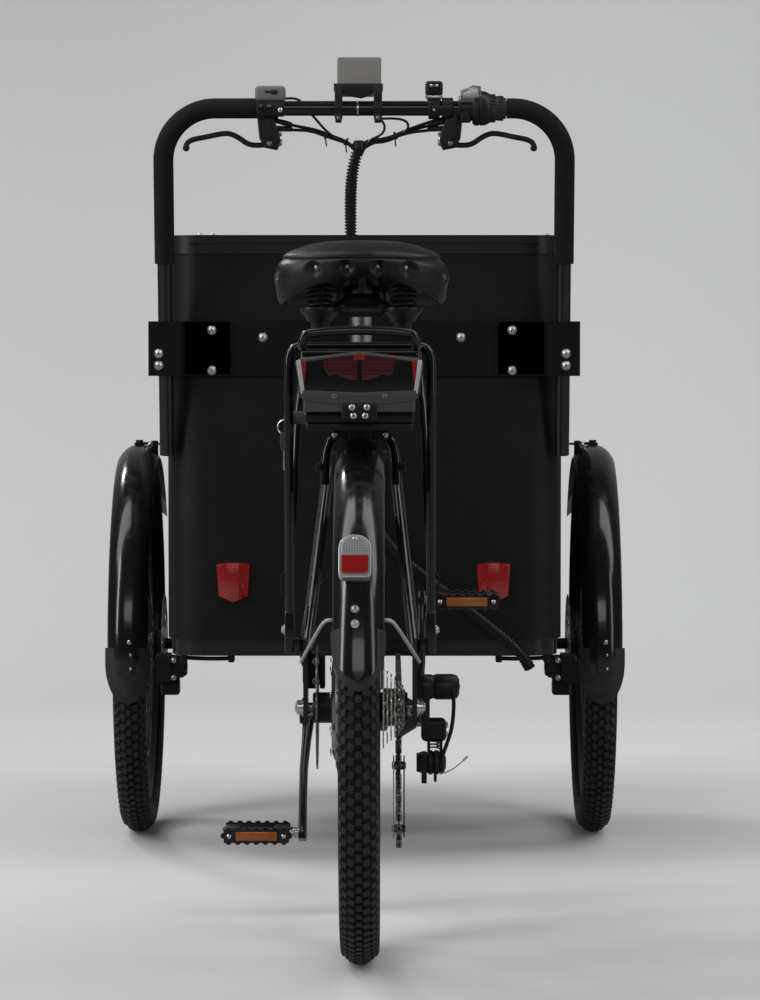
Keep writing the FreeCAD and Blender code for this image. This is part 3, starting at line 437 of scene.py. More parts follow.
paper_sheet()
for lamp_side in (-1, 1):
    soft_lamp("overhead", (lamp_side * 2.3, -0.3, 3.9), (0, 0, 0.5), (1.7, 4.2), 66 - 6 * lamp_side)
soft_lamp("left_bank", (-3.6, -1.6, 2.2), (0, 0, 0.5), (0.8, 3.0), 60)
soft_lamp("far_left", (-2.4, 3.2, 3.4), (0, 0, 0.3), (0.7, 0.7), 42)
soft_lamp("right_bank", (3.8, -2.2, 1.9), (0, 0, 0.6), (0.9, 3.4), 28)
soft_lamp("behind_camera", (0, -6.8, 3.4), (0, -0.5, 0.5), (4.0, 1.6), 45)
world = bpy.data.worlds.new("studio")
world.use_nodes = True
world.node_tree.nodes["Background"].inputs["Color"].default_value = (0.74, 0.75, 0.76, 1)
glossy_ray = world.node_tree.nodes.new("ShaderNodeLightPath").outputs["Is Glossy Ray"]
strength = world.node_tree.nodes.new("ShaderNodeMapRange")
strength.inputs["To Min"].default_value = 0.5
strength.inputs["To Max"].default_value = 0.07
world.node_tree.links.new(glossy_ray, strength.inputs["Value"])
world.node_tree.links.new(strength.outputs[0], world.node_tree.nodes["Background"].inputs["Strength"])
bpy.context.scene.world = world
bpy.context.scene.view_settings.view_transform = "Standard"
print("studio ready")

# %% [markdown]
# ## A workbench for meshes
# Each piece is put together from simple workshop forms: turned parts, swept tubes, plates cut from an
# outline and rounded blocks. Piece gathers them in one mesh, each form with its own finish, and at the
# end gives the piece its edges, its name and the body it rides on.

# %% Workshop forms
def turned(profile, place, axis=ACROSS, steps=48):
    """A lathe form. The profile lists (distance along the axis, radius), and ends on the axis if closed."""
    form = bmesh.new()
    turn = axis.to_track_quat("Z", "X").to_matrix().to_4x4()
    rings = []
    for along, radius in profile:
        if radius < 1e-6:
            rings.append([form.verts.new((0, 0, along))])
            continue
        angles = [math.tau * step / steps for step in range(steps)]
        rings.append([form.verts.new((radius * math.cos(a), radius * math.sin(a), along)) for a in angles])
    for one, two in zip(rings, rings[1:]):
        for step in range(steps):
            after = (step + 1) % steps
            corners = [one[step % len(one)], one[after % len(one)], two[after % len(two)],
                       two[step % len(two)]]
            corners = list(dict.fromkeys(corners))
            if len(corners) > 2:
                form.faces.new(corners)
    bmesh.ops.recalc_face_normals(form, faces=form.faces)
    form.transform(Matrix.Translation(place) @ turn)
    return form


def ringed(profile, place, axis=ACROSS, steps=48):
    """A turned form whose profile closes on itself, such as a tyre."""
    return turned(list(profile) + [profile[0]], place, axis, steps)


def block(low, high, round_edge=0.002, segments=3, turn=None):
    """A block with rounded edges between two corners, turned about its middle."""
    form = bmesh.new()
    bmesh.ops.create_cube(form, size=1)
    size = Vector(high) - Vector(low)
    form.transform(Matrix.Diagonal((*size, 1)))
    reach = min(round_edge, min(size) * 0.49)
    bmesh.ops.bevel(form, geom=form.edges[:], offset=reach, segments=segments, profile=0.5, affect="EDGES")
    if turn:
        form.transform(turn)
    form.transform(Matrix.Translation((Vector(low) + Vector(high)) / 2))
    return form


def plate(outline, thick, turn, holes=(), bevel=0.0004):
    """A flat plate cut from an outline with holes, centred in its thickness, then turned into place."""
    curve = bpy.data.curves.new("outline", "CURVE")
    curve.dimensions = "2D"
    curve.fill_mode = "BOTH"
    curve.extrude = thick / 2 - bevel
    curve.bevel_depth = bevel
    for loop in [outline, *holes]:
        spline = curve.splines.new("POLY")
        spline.points.add(len(loop) - 1)
        for point, (x, y) in zip(spline.points, loop):
            point.co = (x, y, 0, 1)
        spline.use_cyclic_u = True
    return from_curve(curve, turn)


def from_curve(curve, turn=None):
    """The mesh of a curve, as a form."""
    holder = bpy.data.objects.new("curve", curve)
    bpy.context.collection.objects.link(holder)
    graph = bpy.context.evaluated_depsgraph_get()
    mesh = bpy.data.meshes.new_from_object(holder.evaluated_get(graph))
    bpy.data.objects.remove(holder)
    form = bmesh.new()
    form.from_mesh(mesh)
    bmesh.ops.remove_doubles(form, verts=form.verts, dist=1e-6)
    bmesh.ops.recalc_face_normals(form, faces=form.faces)
    if turn:
        form.transform(turn)
    return form


def smooth_line(points):
    """An open NURBS line with these points as its control points."""
    curve = bpy.data.curves.new("line", "CURVE")
    curve.dimensions = "3D"
    spline = curve.splines.new("NURBS")
    spline.points.add(len(points) - 1)
    for point, place in zip(spline.points, points):
        point.co = (*place, 1)
    spline.order_u = 3
    spline.use_endpoint_u = True
    curve.resolution_u = 10
    return curve


def tube(points, radius, sides=4):
    """A round tube along a smooth line, closed at its ends."""
    curve = smooth_line(points)
    curve.bevel_depth = radius
    curve.bevel_resolution = sides
    curve.use_fill_caps = True
    return from_curve(curve)


def circle(radius, steps=40, at=(0, 0)):
    return [(at[0] + radius * math.cos(math.tau * i / steps), at[1] + radius * math.sin(math.tau * i / steps))
            for i in range(steps)]


def helix(centre, radius, low, high, turns, wire):
    curve = bpy.data.curves.new("coil", "CURVE")
    curve.dimensions = "3D"
    spline = curve.splines.new("POLY")
    steps = int(turns * 20)
    spline.points.add(steps)
    for step, point in enumerate(spline.points):
        part = step / steps
        angle = math.tau * turns * part
        point.co = (centre.x + radius * math.cos(angle), centre.y + radius * math.sin(angle),
                    low + (high - low) * part, 1)
    curve.bevel_depth = wire
    curve.bevel_resolution = 3
    curve.use_fill_caps = True
    return from_curve(curve)


def screw_head(radius, height):
    """A button head with a six-sided recess."""
    form = turned([(0, radius), (height * 0.35, radius), (height * 0.85, radius * 0.72),
                   (height, radius * 0.5)],
                  Vector(), UP, 18)
    rims = [[form.verts.new((radius * 0.46 * math.cos(math.tau * i / 6),
                             radius * 0.46 * math.sin(math.tau * i / 6), z))
             for i in range(6)] for z in (height, height * 0.35)]
    top = sorted((v for v in form.verts if abs(v.co.z - height) < 1e-7 and v not in rims[0]),
                 key=lambda v: math.atan2(v.co.y, v.co.x) % math.tau)
    for i in range(6):
        j = (i + 1) % 6
        arc = [top[(3 * i + k) % 18] for k in range(4)]
        form.faces.new(arc + [rims[0][j], rims[0][i]])
        form.faces.new((rims[0][i], rims[0][j], rims[1][j], rims[1][i]))
    form.faces.new(rims[1])
    bmesh.ops.recalc_face_normals(form, faces=form.faces)
    return form


class Piece:
    """One piece of the vehicle, gathered from forms."""

    def __init__(self, name):
        self.name = name
        self.mesh = bmesh.new()
        self.finishes = []

    def add(self, form, finish):
        """Adds a form, or a mesh that a recipe made, in one finish."""
        if finish not in self.finishes:
            self.finishes.append(finish)
        number = self.finishes.index(finish)
        if isinstance(form, bmesh.types.BMesh):
            mesh = bpy.data.meshes.new("form")
            form.to_mesh(mesh)
            form.free()
        else:
            mesh = form
        before = len(self.mesh.faces)
        self.mesh.from_mesh(mesh)
        self.mesh.faces.ensure_lookup_table()
        for face in self.mesh.faces[before:]:
            face.material_index = number
        bpy.data.meshes.remove(mesh)
        return self

    def stamp(self, form, places, finish):
        """Adds copies of a form, one at each place."""
        return self.add(stamped(form, places, finish), finish)

    def done(self, body, stands_for=(), slot="black_satin", sharp=35):
        mesh = bpy.data.meshes.new(self.name)
        self.mesh.to_mesh(mesh)
        self.mesh.free()
        for finish in self.finishes:
            mesh.materials.append(FINISHES[finish])
        mesh.shade_smooth()
        mesh.set_sharp_from_angle(angle=math.radians(sharp))
        thing = bpy.data.objects.new(self.name, mesh)
        bpy.context.collection.objects.link(thing)
        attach(thing, body)
        if stands_for:
            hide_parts(*stands_for)
        return thing


print("workbench ready")

# %% [markdown]
# ## Recipes for what repeats
# Spokes, tread blocks, chain links, bolts and wraps are the same small form many times. A Geometry Nodes
# tree is the recipe: points go in, a small form is put on each, and one plain mesh comes out. Each point
# carries the direction that its copy faces and the direction of its top, so that one recipe serves bolts,
# links and blocks alike.

# %% The stamping recipe
class Recipe:
    """A Geometry Nodes tree with named inputs."""

    def __init__(self, name, **inputs):
        self.tree = bpy.data.node_groups.new(name, "GeometryNodeTree")
        face = self.tree.interface
        face.new_socket("Geometry", in_out="INPUT", socket_type="NodeSocketGeometry")
        face.new_socket("Geometry", in_out="OUTPUT", socket_type="NodeSocketGeometry")
        self.names = {}
        for label, kind in inputs.items():
            self.names[label] = face.new_socket(label, in_out="INPUT",
                                                socket_type="NodeSocket" + kind).identifier
        self.start = self.tree.nodes.new("NodeGroupInput")

    def add(self, kind, sockets, output=0, **settings):
        node = self.tree.nodes.new(kind)
        for name, value in settings.items():
            setattr(node, name, value)
        for key, value in sockets.items():
            if isinstance(value, bpy.types.NodeSocket):
                self.tree.links.new(value, node.inputs[key])
            else:
                node.inputs[key].default_value = value
        return node.outputs[output]

    def given(self, label):
        return self.start.outputs[label]

    def finish(self, geometry, material):
        """Every recipe ends as plain mesh with its finish on it."""
        whole = self.add("GeometryNodeRealizeInstances", {"Geometry": geometry})
        dressed = self.add("GeometryNodeSetMaterial", {"Geometry": whole, "Material": material})
        self.tree.links.new(dressed, self.tree.nodes.new("NodeGroupOutput").inputs[0])

    def run(self, source, **values):
        """Runs the recipe on a mesh and returns the plain mesh that comes out."""
        holder = bpy.data.objects.new("holder", source)
        bpy.context.collection.objects.link(holder)
        modifier = holder.modifiers.new("recipe", "NODES")
        modifier.node_group = self.tree
        for label, value in values.items():
            modifier[self.names[label]] = value
        graph = bpy.context.evaluated_depsgraph_get()
        mesh = bpy.data.meshes.new_from_object(holder.evaluated_get(graph))
        bpy.data.objects.remove(holder)
        return mesh


def stamping():
    """A small form on each point. The point's normal is its facing, and its top is a second direction."""
    recipe = Recipe("stamping", Form="Object", Finish="Material")
    facing = recipe.add("GeometryNodeInputNamedAttribute", {"Name": "facing"}, data_type="FLOAT_VECTOR")
    top = recipe.add("GeometryNodeInputNamedAttribute", {"Name": "top"}, data_type="FLOAT_VECTOR")
    scale = recipe.add("GeometryNodeInputNamedAttribute", {"Name": "size"}, data_type="FLOAT_VECTOR")
    turn = recipe.add("FunctionNodeAxesToRotation", {"Primary Axis": facing, "Secondary Axis": top},
                      primary_axis="Z", secondary_axis="Y")
    form = recipe.add("GeometryNodeObjectInfo", {"Object": recipe.given("Form")}, output=4)
    copies = recipe.add("GeometryNodeInstanceOnPoints", {
        "Points": recipe.given("Geometry"), "Instance": form, "Rotation": turn, "Scale": scale})
    recipe.finish(copies, recipe.given("Finish"))
    return recipe


STAMP = stamping()


def stamped(form, places, finish):
    """Copies of a form. Each place is (point, facing, top, size), and size may be left out."""
    holder_mesh = bpy.data.meshes.new("form")
    form.to_mesh(holder_mesh)
    form.free()
    holder = bpy.data.objects.new("form", holder_mesh)
    bpy.context.collection.objects.link(holder)
    cloud = bpy.data.meshes.new("places")
    cloud.from_pydata([tuple(row[0]) for row in places], [], [])
    for number, name in enumerate(("facing", "top", "size")):
        column = cloud.attributes.new(name, "FLOAT_VECTOR", "POINT")
        for row, value in zip(places, column.data):
            value.vector = tuple(row[number + 1]) if number + 1 < len(row) else (1, 1, 1)
    mesh = STAMP.run(cloud, Form=holder, Finish=FINISHES[finish])
    bpy.data.objects.remove(holder)
    return mesh


print("stamping inputs", STAMP.names)

# %% [markdown]
# ## Finishes for the solids that stay
# Most CAD solids have the right shape already and only need a finish. The table goes by finish, so that
# it reads like a paint shop's list.

# %% Paint list
PAINT_LIST = {
    "black_lacquer": ["main_frame", "rear_triangle", "handlebar", "box_base_frame", "handlebar_band",
                      "handlebar_clamps"],
    "powder_coat": ["seat_collar", "guard_brackets", "front_axle", "rim_rear", "rim_front_left",
                    "rim_front_right", "brake_caliper_rear", "brake_calipers_front"],
    "bright_steel": ["steering_pin"], "brushed_alloy": ["seat_post"], "box_skin": ["box_rear_panel",
    "box_front_panel", "box_side_panel_left", "box_side_panel_right",
                 "box_floor"],
    "moulded_plastic": ["box_rim", "headlamp"], "foam": ["grips"],
}
for finish, names in PAINT_LIST.items():
    for name in names:
        for holder in nodes[name].material_slots:
            holder.material = FINISHES[finish]
print("painted", sum(len(names) for names in PAINT_LIST.values()), "solids")

# %% [markdown]
# ## Tyres
# The casing is a turned ring whose crown lies one tread depth below the tyre's full size. The tread is
# rows of blocks stamped round it, up to the full size. On the real tyres a chain of small centre blocks
# runs between two rows of wide blocks, and slanted shoulder blocks break up the outline seen from behind.

# %% Tyres
TREAD = 0.003


def crown_height(x):
    """How far the tyre's full outline lies below its crown, at a distance from the middle."""
    bow = 0.02295
    return bow - math.sqrt(max(bow * bow - x * x, 0))


def casing(radius):
    half = [(0.013, 0.0447), (0.0175, 0.0425), (0.0222, 0.0365), (0.0250, 0.0295), (0.0254, 0.0240),
            (0.0240, 0.0180), (0.0210, 0.0135), (0.0175, 0.0108), (0.0143, 0.0088), (0.0080, 0.0050),
            (0.0, 0.0034)]
    right = [(x, radius - drop) for x, drop in half]
    left = [(-x, r) for x, r in reversed(right[:-1])]
    return right + left


def tread_block(width, length, depth):
    """A block whose top is a little smaller than its foot. Its top lies on the stamped point."""
    form = bmesh.new()
    corners = []
    for z, shrink in ((-depth, 1.0), (-depth * 0.25, 0.94), (0, 0.8)):
        corners.append([form.verts.new((sx * width / 2 * shrink, sy * length / 2 * shrink, z))
                        for sx, sy in ((-1, -1), (1, -1), (1, 1), (-1, 1))])
    for low, high in zip(corners, corners[1:]):
        for i in range(4):
            form.faces.new((low[i], low[(i + 1) % 4], high[(i + 1) % 4], high[i]))
    form.faces.new(corners[-1])
    return form


def tread_row(centre, radius, x, tilt, count, phase, skew=0.0):
    """Places round the wheel for one row, tilted outward from the middle by an angle."""
    rows = []
    out = math.radians(tilt) * (1 if x > 0 else -1)
    drop = crown_height(x) if abs(x) < 0.0143 else 0.0052 + (abs(x) - 0.0143) * 0.95
    for step in range(count):
        angle = math.tau * (step + phase) / count
        radial = Vector((0, math.cos(angle), math.sin(angle)))
        along = Vector((0, -math.sin(angle), math.cos(angle)))
        facing = (radial * math.cos(out) + ACROSS * math.sin(out)).normalized()
        top = (along + ACROSS * skew * (1 if x > 0 else -1)).normalized()
        rows.append((centre + ACROSS * x + radial * (radius - drop), facing, top))
    return rows


def tyre(name, centre, radius, pitch):
    count = round(math.tau * radius / pitch)
    piece = Piece("tread_" + name)
    piece.add(ringed(casing(radius), centre, ACROSS, 144), "tyre_rubber")
    piece.stamp(tread_block(0.0078, pitch * 0.62, TREAD), tread_row(centre, radius, 0.0, 0, count, 0),
                "lit_tread_rubber")
    wide = tread_block(0.0095, pitch * 0.66, TREAD)
    rows = []
    for x, tilt, phase, skew in ((0.0098, 22, 0.5, 0.25), (-0.0098, 22, 0.5, 0.25)):
        rows += tread_row(centre, radius, x, tilt, count, phase, skew)
    piece.stamp(wide, rows, "lit_tread_rubber")
    rows = []
    for x in (0.0188, -0.0188):
        rows += tread_row(centre, radius, x, 48, count, 0.0, 0.3)
    piece.stamp(tread_block(0.0088, pitch * 0.6, TREAD * 1.3), rows, "lit_tread_rubber")
    rows = []
    for x in (0.0238, -0.0238):
        rows += tread_row(centre, radius, x, 66, count, 0.5, 0.2)
    piece.stamp(tread_block(0.0075, pitch * 0.42, TREAD), rows, "lit_tread_rubber")
    return piece, count


piece, count = tyre("rear", rear_hub, rear_radius, 0.0172)
piece.done("rear_wheel", ["tyre_rear"], "tyre")
for side in front_hub:
    piece, front_count = tyre("front_" + side, front_hub[side], front_radius, 0.0172)
    piece.done("front_wheel_" + side, ["tyre_front_" + side], "tyre")
print("tread blocks round the rear tyre", count, "front", front_count)

# %% [markdown]
# ## Hubs, spokes and brake rotors
# A spoke is a two-millimetre wire from a hub flange to the rim, laid nearly along a tangent so that it
# pulls as the wheel is driven. Each is one unit-long rod, stretched by the stamping recipe to its own
# length, with a bright steel nipple at the rim. The rotor is a plate cut from an outline, with its
# cooling holes.

# %% Wheels' inner parts
def spoke_rod():
    return turned([(0, 0), (0, 0.001), (1, 0.001), (1, 0)], Vector(), UP, 8)


def spoke_places(centre, flange, flange_x, rim_inner, lead, offset=0.0, count=32):
    spokes, nipples = [], []
    for index in range(count):
        side = 1 if index % 2 else -1
        ahead = 1 if index % 4 > 1 else -1
        angle = math.tau * index / count
        start_angle = angle - ahead * lead
        start = centre + Vector((offset + side * flange_x, flange * math.cos(start_angle),
                                 flange * math.sin(start_angle)))
        end = centre + Vector((side * 0.003, rim_inner * math.cos(angle), rim_inner * math.sin(angle)))
        run = end - start
        spokes.append((start, run.normalized(), ACROSS, (1, 1, run.length)))
        nipples.append((end, run.normalized(), ACROSS))
    return spokes, nipples


def add_spokes(piece, *plan):
    spokes, nipples = spoke_places(*plan)
    piece.stamp(spoke_rod(), spokes, "powder_coat")
    nipple = turned([(-0.013, 0), (-0.013, 0.0018), (-0.002, 0.0021), (0.002, 0.0021)], Vector(), UP, 8)
    piece.stamp(nipple, nipples, "bright_steel")


def at_right(x, y, z):
    return Matrix.Translation((x, y, z)) @ Matrix.Rotation(math.pi / 2, 4, "Y")


def sector(inner, outer, start, end):
    """The outline of a window between two radii and two angles."""
    steps = 8
    angles = [start + (end - start) * k / steps for k in range(steps + 1)]
    far = [(outer * math.cos(a), outer * math.sin(a)) for a in angles]
    return far + [(inner * math.cos(a), inner * math.sin(a)) for a in reversed(angles)]


def rotor(x, centre, radius):
    """A brake rotor: a wavy ring with cooling holes, and five arms to the hub."""
    turn = at_right(x, centre.y, centre.z)
    outline = [((radius - 0.0012 + 0.0012 * math.cos(12 * a)) * math.cos(a),
                (radius - 0.0012 + 0.0012 * math.cos(12 * a)) * math.sin(a))
               for a in [math.tau * i / 144 for i in range(144)]]
    holes = [circle(0.016, 32)]
    for i in range(36):
        a = math.tau * i / 36
        r = radius - (0.0065 if i % 2 else 0.0115)
        holes.append(circle(0.0024, 10, (r * math.cos(a), r * math.sin(a))))
    for i in range(6):
        a0, a1 = math.tau * (i + 0.12) / 6, math.tau * (i + 0.88) / 6
        holes.append(sector(0.026, radius - 0.017, a0, a1))
    return plate(outline, 0.0019, turn, holes, 0.0002)


def front_wheel(side, sign):
    centre = front_hub[side]
    piece = Piece("wheel_inside_front_" + side)
    half = 0.028
    shell = [(-half, 0.0096), (-half, 0.019), (-half + 0.002, 0.028), (-half + 0.006, 0.028),
             (-half + 0.008, 0.0185), (-0.012, 0.0165), (0.012, 0.0165), (half - 0.008, 0.0185),
             (half - 0.006, 0.028), (half - 0.002, 0.028), (half, 0.019), (half, 0.0096)]
    piece.add(ringed(shell, centre, ACROSS, 40), "powder_coat")
    inner = centre.x - sign * half
    boss = [(0, 0.0096), (0, 0.0215), (0.011, 0.0215), (0.0118, 0.0205), (0.0118, 0.0096)]
    piece.add(ringed(boss, Vector((inner, centre.y, centre.z)), ACROSS * -sign, 40), "powder_coat")
    piece.add(rotor(inner - sign * 0.012, centre, 0.08), "oiled_steel")
    add_spokes(piece, centre, 0.026, half - 0.005, front_radius - 0.0647, math.radians(62))
    piece.done("front_wheel_" + side, ["hub_front_" + side], "black_satin")


for side, sign in SIDES:
    front_wheel(side, sign)


def rear_wheel():
    piece = Piece("wheel_inside_rear")
    shell = [(-0.0369, 0.0066), (-0.0369, 0.030), (-0.0365, 0.058), (-0.034, 0.066), (-0.0315, 0.070),
             (-0.0315, 0.078), (-0.0275, 0.078), (-0.0268, 0.0725), (0.0148, 0.0725), (0.0155, 0.078),
             (0.0195, 0.078), (0.0195, 0.070), (0.022, 0.066), (0.0245, 0.058), (0.0249, 0.030),
             (0.0249, 0.0066)]
    piece.add(ringed(shell, rear_hub, ACROSS, 96), "brushed_alloy")
    for low, high in ((-0.0612, -0.0368), (0.0248, 0.0612)):
        sleeve = [(low, 0.0066), (low, 0.018), (low + 0.002, 0.0195), (high, 0.0195), (high, 0.0066)]
        piece.add(ringed(sleeve, rear_hub, ACROSS, 40), "powder_coat")
    piece.add(rotor(rear_hub.x - 0.0555, rear_hub, 0.08), "oiled_steel")
    bolts = []
    for i in range(9):
        a = math.tau * i / 9
        bolts.append((rear_hub + Vector((-0.0372, 0.062 * math.cos(a), 0.062 * math.sin(a))), -ACROSS, UP))
    head = turned([(0, 0), (0, 0.0035), (0.0016, 0.003), (0.0018, 0)], Vector(), UP, 12)
    piece.stamp(head, bolts, "bright_steel")
    add_spokes(piece, rear_hub, 0.0745, 0.024, rear_radius - 0.0647, math.radians(21), -0.006, 36)
    piece.done("rear_wheel", ["hub_rear"], "black_satin")


rear_wheel()
print("wheels are laced")

# %% [markdown]
# ## Chainring, sprockets and chain
# Teeth are cut into the outline of a flat plate, one tooth for each link. The chain is a row of links on
# a belt round the ring, one sprocket and the two pulleys of the derailleur. The belt's straight runs are
# common tangents, and it goes round the upper pulley the other way. Every second link has its plates
# outside.

# %% Drive train
PITCH = 0.0127
RING_TEETH, COG_TEETH, PULLEY_TEETH = 42, 16, 11
GUIDE = (rear_hub.y + 0.020, rear_hub.z - 0.078)
TENSION = (rear_hub.y + 0.030, rear_hub.z - 0.162)


def pitch_radius(teeth):
    return PITCH / 2 / math.sin(math.pi / teeth)


def toothed(teeth):
    """The outline of a sprocket: round valleys that hold the rollers, and blunt teeth."""
    middle_radius = pitch_radius(teeth)
    steps = 8
    outline = []
    for i in range(teeth * steps):
        a = math.tau * i / (teeth * steps)
        wave = 0.5 + 0.5 * math.cos(teeth * a)
        r = middle_radius - 0.0037 + 0.0060 * min(1, wave * 1.3)
        outline.append((r * math.cos(a), r * math.sin(a)))
    return outline


piece = Piece("chainring_toothed")
windows = [sector(0.038, 0.069, math.tau * (i - 0.36) / 5, math.tau * (i + 0.36) / 5) for i in range(5)]
piece.add(plate(toothed(RING_TEETH), 0.003, at_right(*crank_hub), windows + [circle(0.0135, 32)]),
          "powder_coat")
bolts = [(crank_hub + Vector((0.0016, 0.054 * math.sin(a), 0.054 * math.cos(a))), ACROSS, UP)
         for a in [math.tau * (i + 0.5) / 5 + math.pi / 2 for i in range(5)]]
cap = turned([(0, 0.0048), (0.0014, 0.0046), (0.0018, 0.0036), (0.0018, 0)], Vector(), UP, 20)
piece.stamp(cap, bolts, "bright_steel")
piece.done("crank", ["chainring"], "black_satin")

piece = Piece("sprockets")
cog_low, cog_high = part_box("cassette")
chain_low, chain_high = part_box("chain")
chain_x = (chain_low.x + chain_high.x) / 2
for step, teeth in enumerate((13, COG_TEETH, 18, 20, 22, 25)):
    inner = pitch_radius(teeth) - 0.009
    windows = [sector(0.0265, inner, math.tau * (i - 0.3) / 6, math.tau * (i + 0.3) / 6) for i in range(6)] \
        if inner > 0.031 else []
    piece.add(plate(toothed(teeth), 0.0018, at_right(chain_x + 0.005 - step * 0.005, rear_hub.y, rear_hub.z),
                    [circle(0.0205, 32), *windows], 0.0003), "bright_steel" if step else "oiled_steel")
spacer = [(cog_low.x + 0.002, 0.0202), (cog_low.x + 0.002, 0.0250), (cog_high.x - 0.001, 0.0235),
          (cog_high.x, 0.0202)]
piece.add(ringed(spacer, Vector((0, rear_hub.y, rear_hub.z)), ACROSS, 40), "oiled_steel")
piece.done("rear_wheel", ["cassette"], "steel")


def tangent(first, second):
    """The straight run between two wheels (y, z, radius, sense), where a sense of 1 is counter-clockwise."""
    dy, dz = second[0] - first[0], second[1] - first[1]
    cross = second[3] * second[2] - first[3] * first[2]
    angle = math.atan2(dz, dy) - math.atan2(cross, math.sqrt(dy * dy + dz * dz - cross * cross))
    return [(y + sense * radius * math.sin(angle), z - sense * radius * math.cos(angle))
            for y, z, radius, sense in (first, second)]


def belt_line(wheels):
    """Points a millimetre apart all round a belt."""
    runs = [tangent(one, two) for one, two in zip(wheels, wheels[1:] + wheels[:1])]
    points = []
    for number, (y, z, radius, sense) in enumerate(wheels):
        arrive, leave = runs[number - 1][1], runs[number][0]
        start = math.atan2(arrive[1] - z, arrive[0] - y)
        sweep = (sense * (math.atan2(leave[1] - z, leave[0] - y) - start)) % math.tau
        steps = max(2, int(sweep * radius / 0.001))
        points += [(y + radius * math.cos(start + sense * sweep * k / steps),
                    z + radius * math.sin(start + sense * sweep * k / steps)) for k in range(steps)]
        far = runs[number][1]
        steps = max(2, int(math.dist(leave, far) / 0.001))
        points += [(leave[0] + (far[0] - leave[0]) * k / steps, leave[1] + (far[1] - leave[1]) * k / steps)
                   for k in range(steps)]
    return points


def belt(wheels):
    """The chain's pins: evenly spaced places round a belt, an even number of them."""
    points = belt_line(wheels)
    lengths = [0.0]
    for one, two in zip(points, points[1:] + points[:1]):
        lengths.append(lengths[-1] + math.dist(one, two))
    count = 2 * round(lengths[-1] / PITCH / 2)
    pins = []
    place = 0
    for link in range(count):
        want = lengths[-1] * link / count
        while lengths[place + 1] < want:
            place += 1
        one, two = points[place], points[(place + 1) % len(points)]
        part = (want - lengths[place]) / (lengths[place + 1] - lengths[place])
        pins.append((one[0] + (two[0] - one[0]) * part, one[1] + (two[1] - one[1]) * part))
    return pins, lengths[-1]


def link_form(x):
    """One link: two waisted plates and the roller at its front end."""
    form = bmesh.new()
    outline = []
    for i in range(16):
        a = math.tau * i / 16
        waist = 0.0038 if abs(math.cos(a)) > 0.2 else 0.0029
        eye = math.copysign(min(1, abs(math.cos(a)) * 1.5), math.cos(a))
        outline.append((PITCH / 2 * eye + 0.0036 * math.cos(a), waist * math.sin(a)))
    for side in (-1, 1):
        rings = [[form.verts.new((side * (x + t), v, u)) for u, v in outline] for t in (-0.0005, 0.0005)]
        for i in range(16):
            j = (i + 1) % 16
            form.faces.new((rings[0][i], rings[0][j], rings[1][j], rings[1][i]))
        for ring in rings:
            form.faces.new(ring)
    rings = [[form.verts.new((s * x, 0.0033 * math.cos(math.tau * i / 8),
                              PITCH / 2 + 0.0033 * math.sin(math.tau * i / 8)))
              for i in range(8)] for s in (-1, 1)]
    for i in range(8):
        form.faces.new((rings[0][i], rings[0][(i + 1) % 8], rings[1][(i + 1) % 8], rings[1][i]))
    bmesh.ops.recalc_face_normals(form, faces=form.faces)
    return form


pins, chain_length = belt([(crank_hub.y, crank_hub.z, pitch_radius(RING_TEETH), 1),
                           (rear_hub.y, rear_hub.z, pitch_radius(COG_TEETH), 1),
                           (*GUIDE, pitch_radius(PULLEY_TEETH), -1),
                           (*TENSION, pitch_radius(PULLEY_TEETH), 1)])
links = [[], []]
for number, (y, z) in enumerate(pins):
    after = pins[(number + 1) % len(pins)]
    place = Vector((chain_x, (y + after[0]) / 2, (z + after[1]) / 2))
    toward = Vector((0, after[0] - y, after[1] - z)).normalized()
    links[number % 2].append((place, toward, toward.cross(ACROSS)))
piece = Piece("chain_links")
for half, places in zip((0.0019, 0.0031), links):
    piece.stamp(link_form(half), places, "oiled_steel")
piece.done("rear_frame", ["chain"], "steel")
print("links", len(pins), "chain length", round(chain_length, 3))

# %% [markdown]
# ## The derailleur
# It hangs from the right dropout: a round cap over its spring, a body, a jointed arm that swings it
# across the sprockets, and a cage of two plates that carries the pulleys. The gear cable ends in a loop
# behind it.

# %% Derailleur
def slab(outline, x, thick, finish, piece, holes=(), bevel=0.0006):
    """A plate that faces the right side, from (y, z) points, centred on x."""
    turn = Matrix(((0, 0, 1, x), (1, 0, 0, 0), (0, 1, 0, 0), (0, 0, 0, 1)))
    piece.add(plate(outline, thick, turn, holes, bevel), finish)


def strap(first, second, radius, radius_end):
    """The outline of a link with two round ends."""
    steps = 10
    angle = math.atan2(second[1] - first[1], second[0] - first[0])
    points = []
    for (y, z), r, base in ((second, radius_end, -math.pi / 2), (first, radius, math.pi / 2)):
        points += [(y + r * math.cos(angle + base + math.pi * k / steps),
                    z + r * math.sin(angle + base + math.pi * k / steps)) for k in range(steps + 1)]
    return points


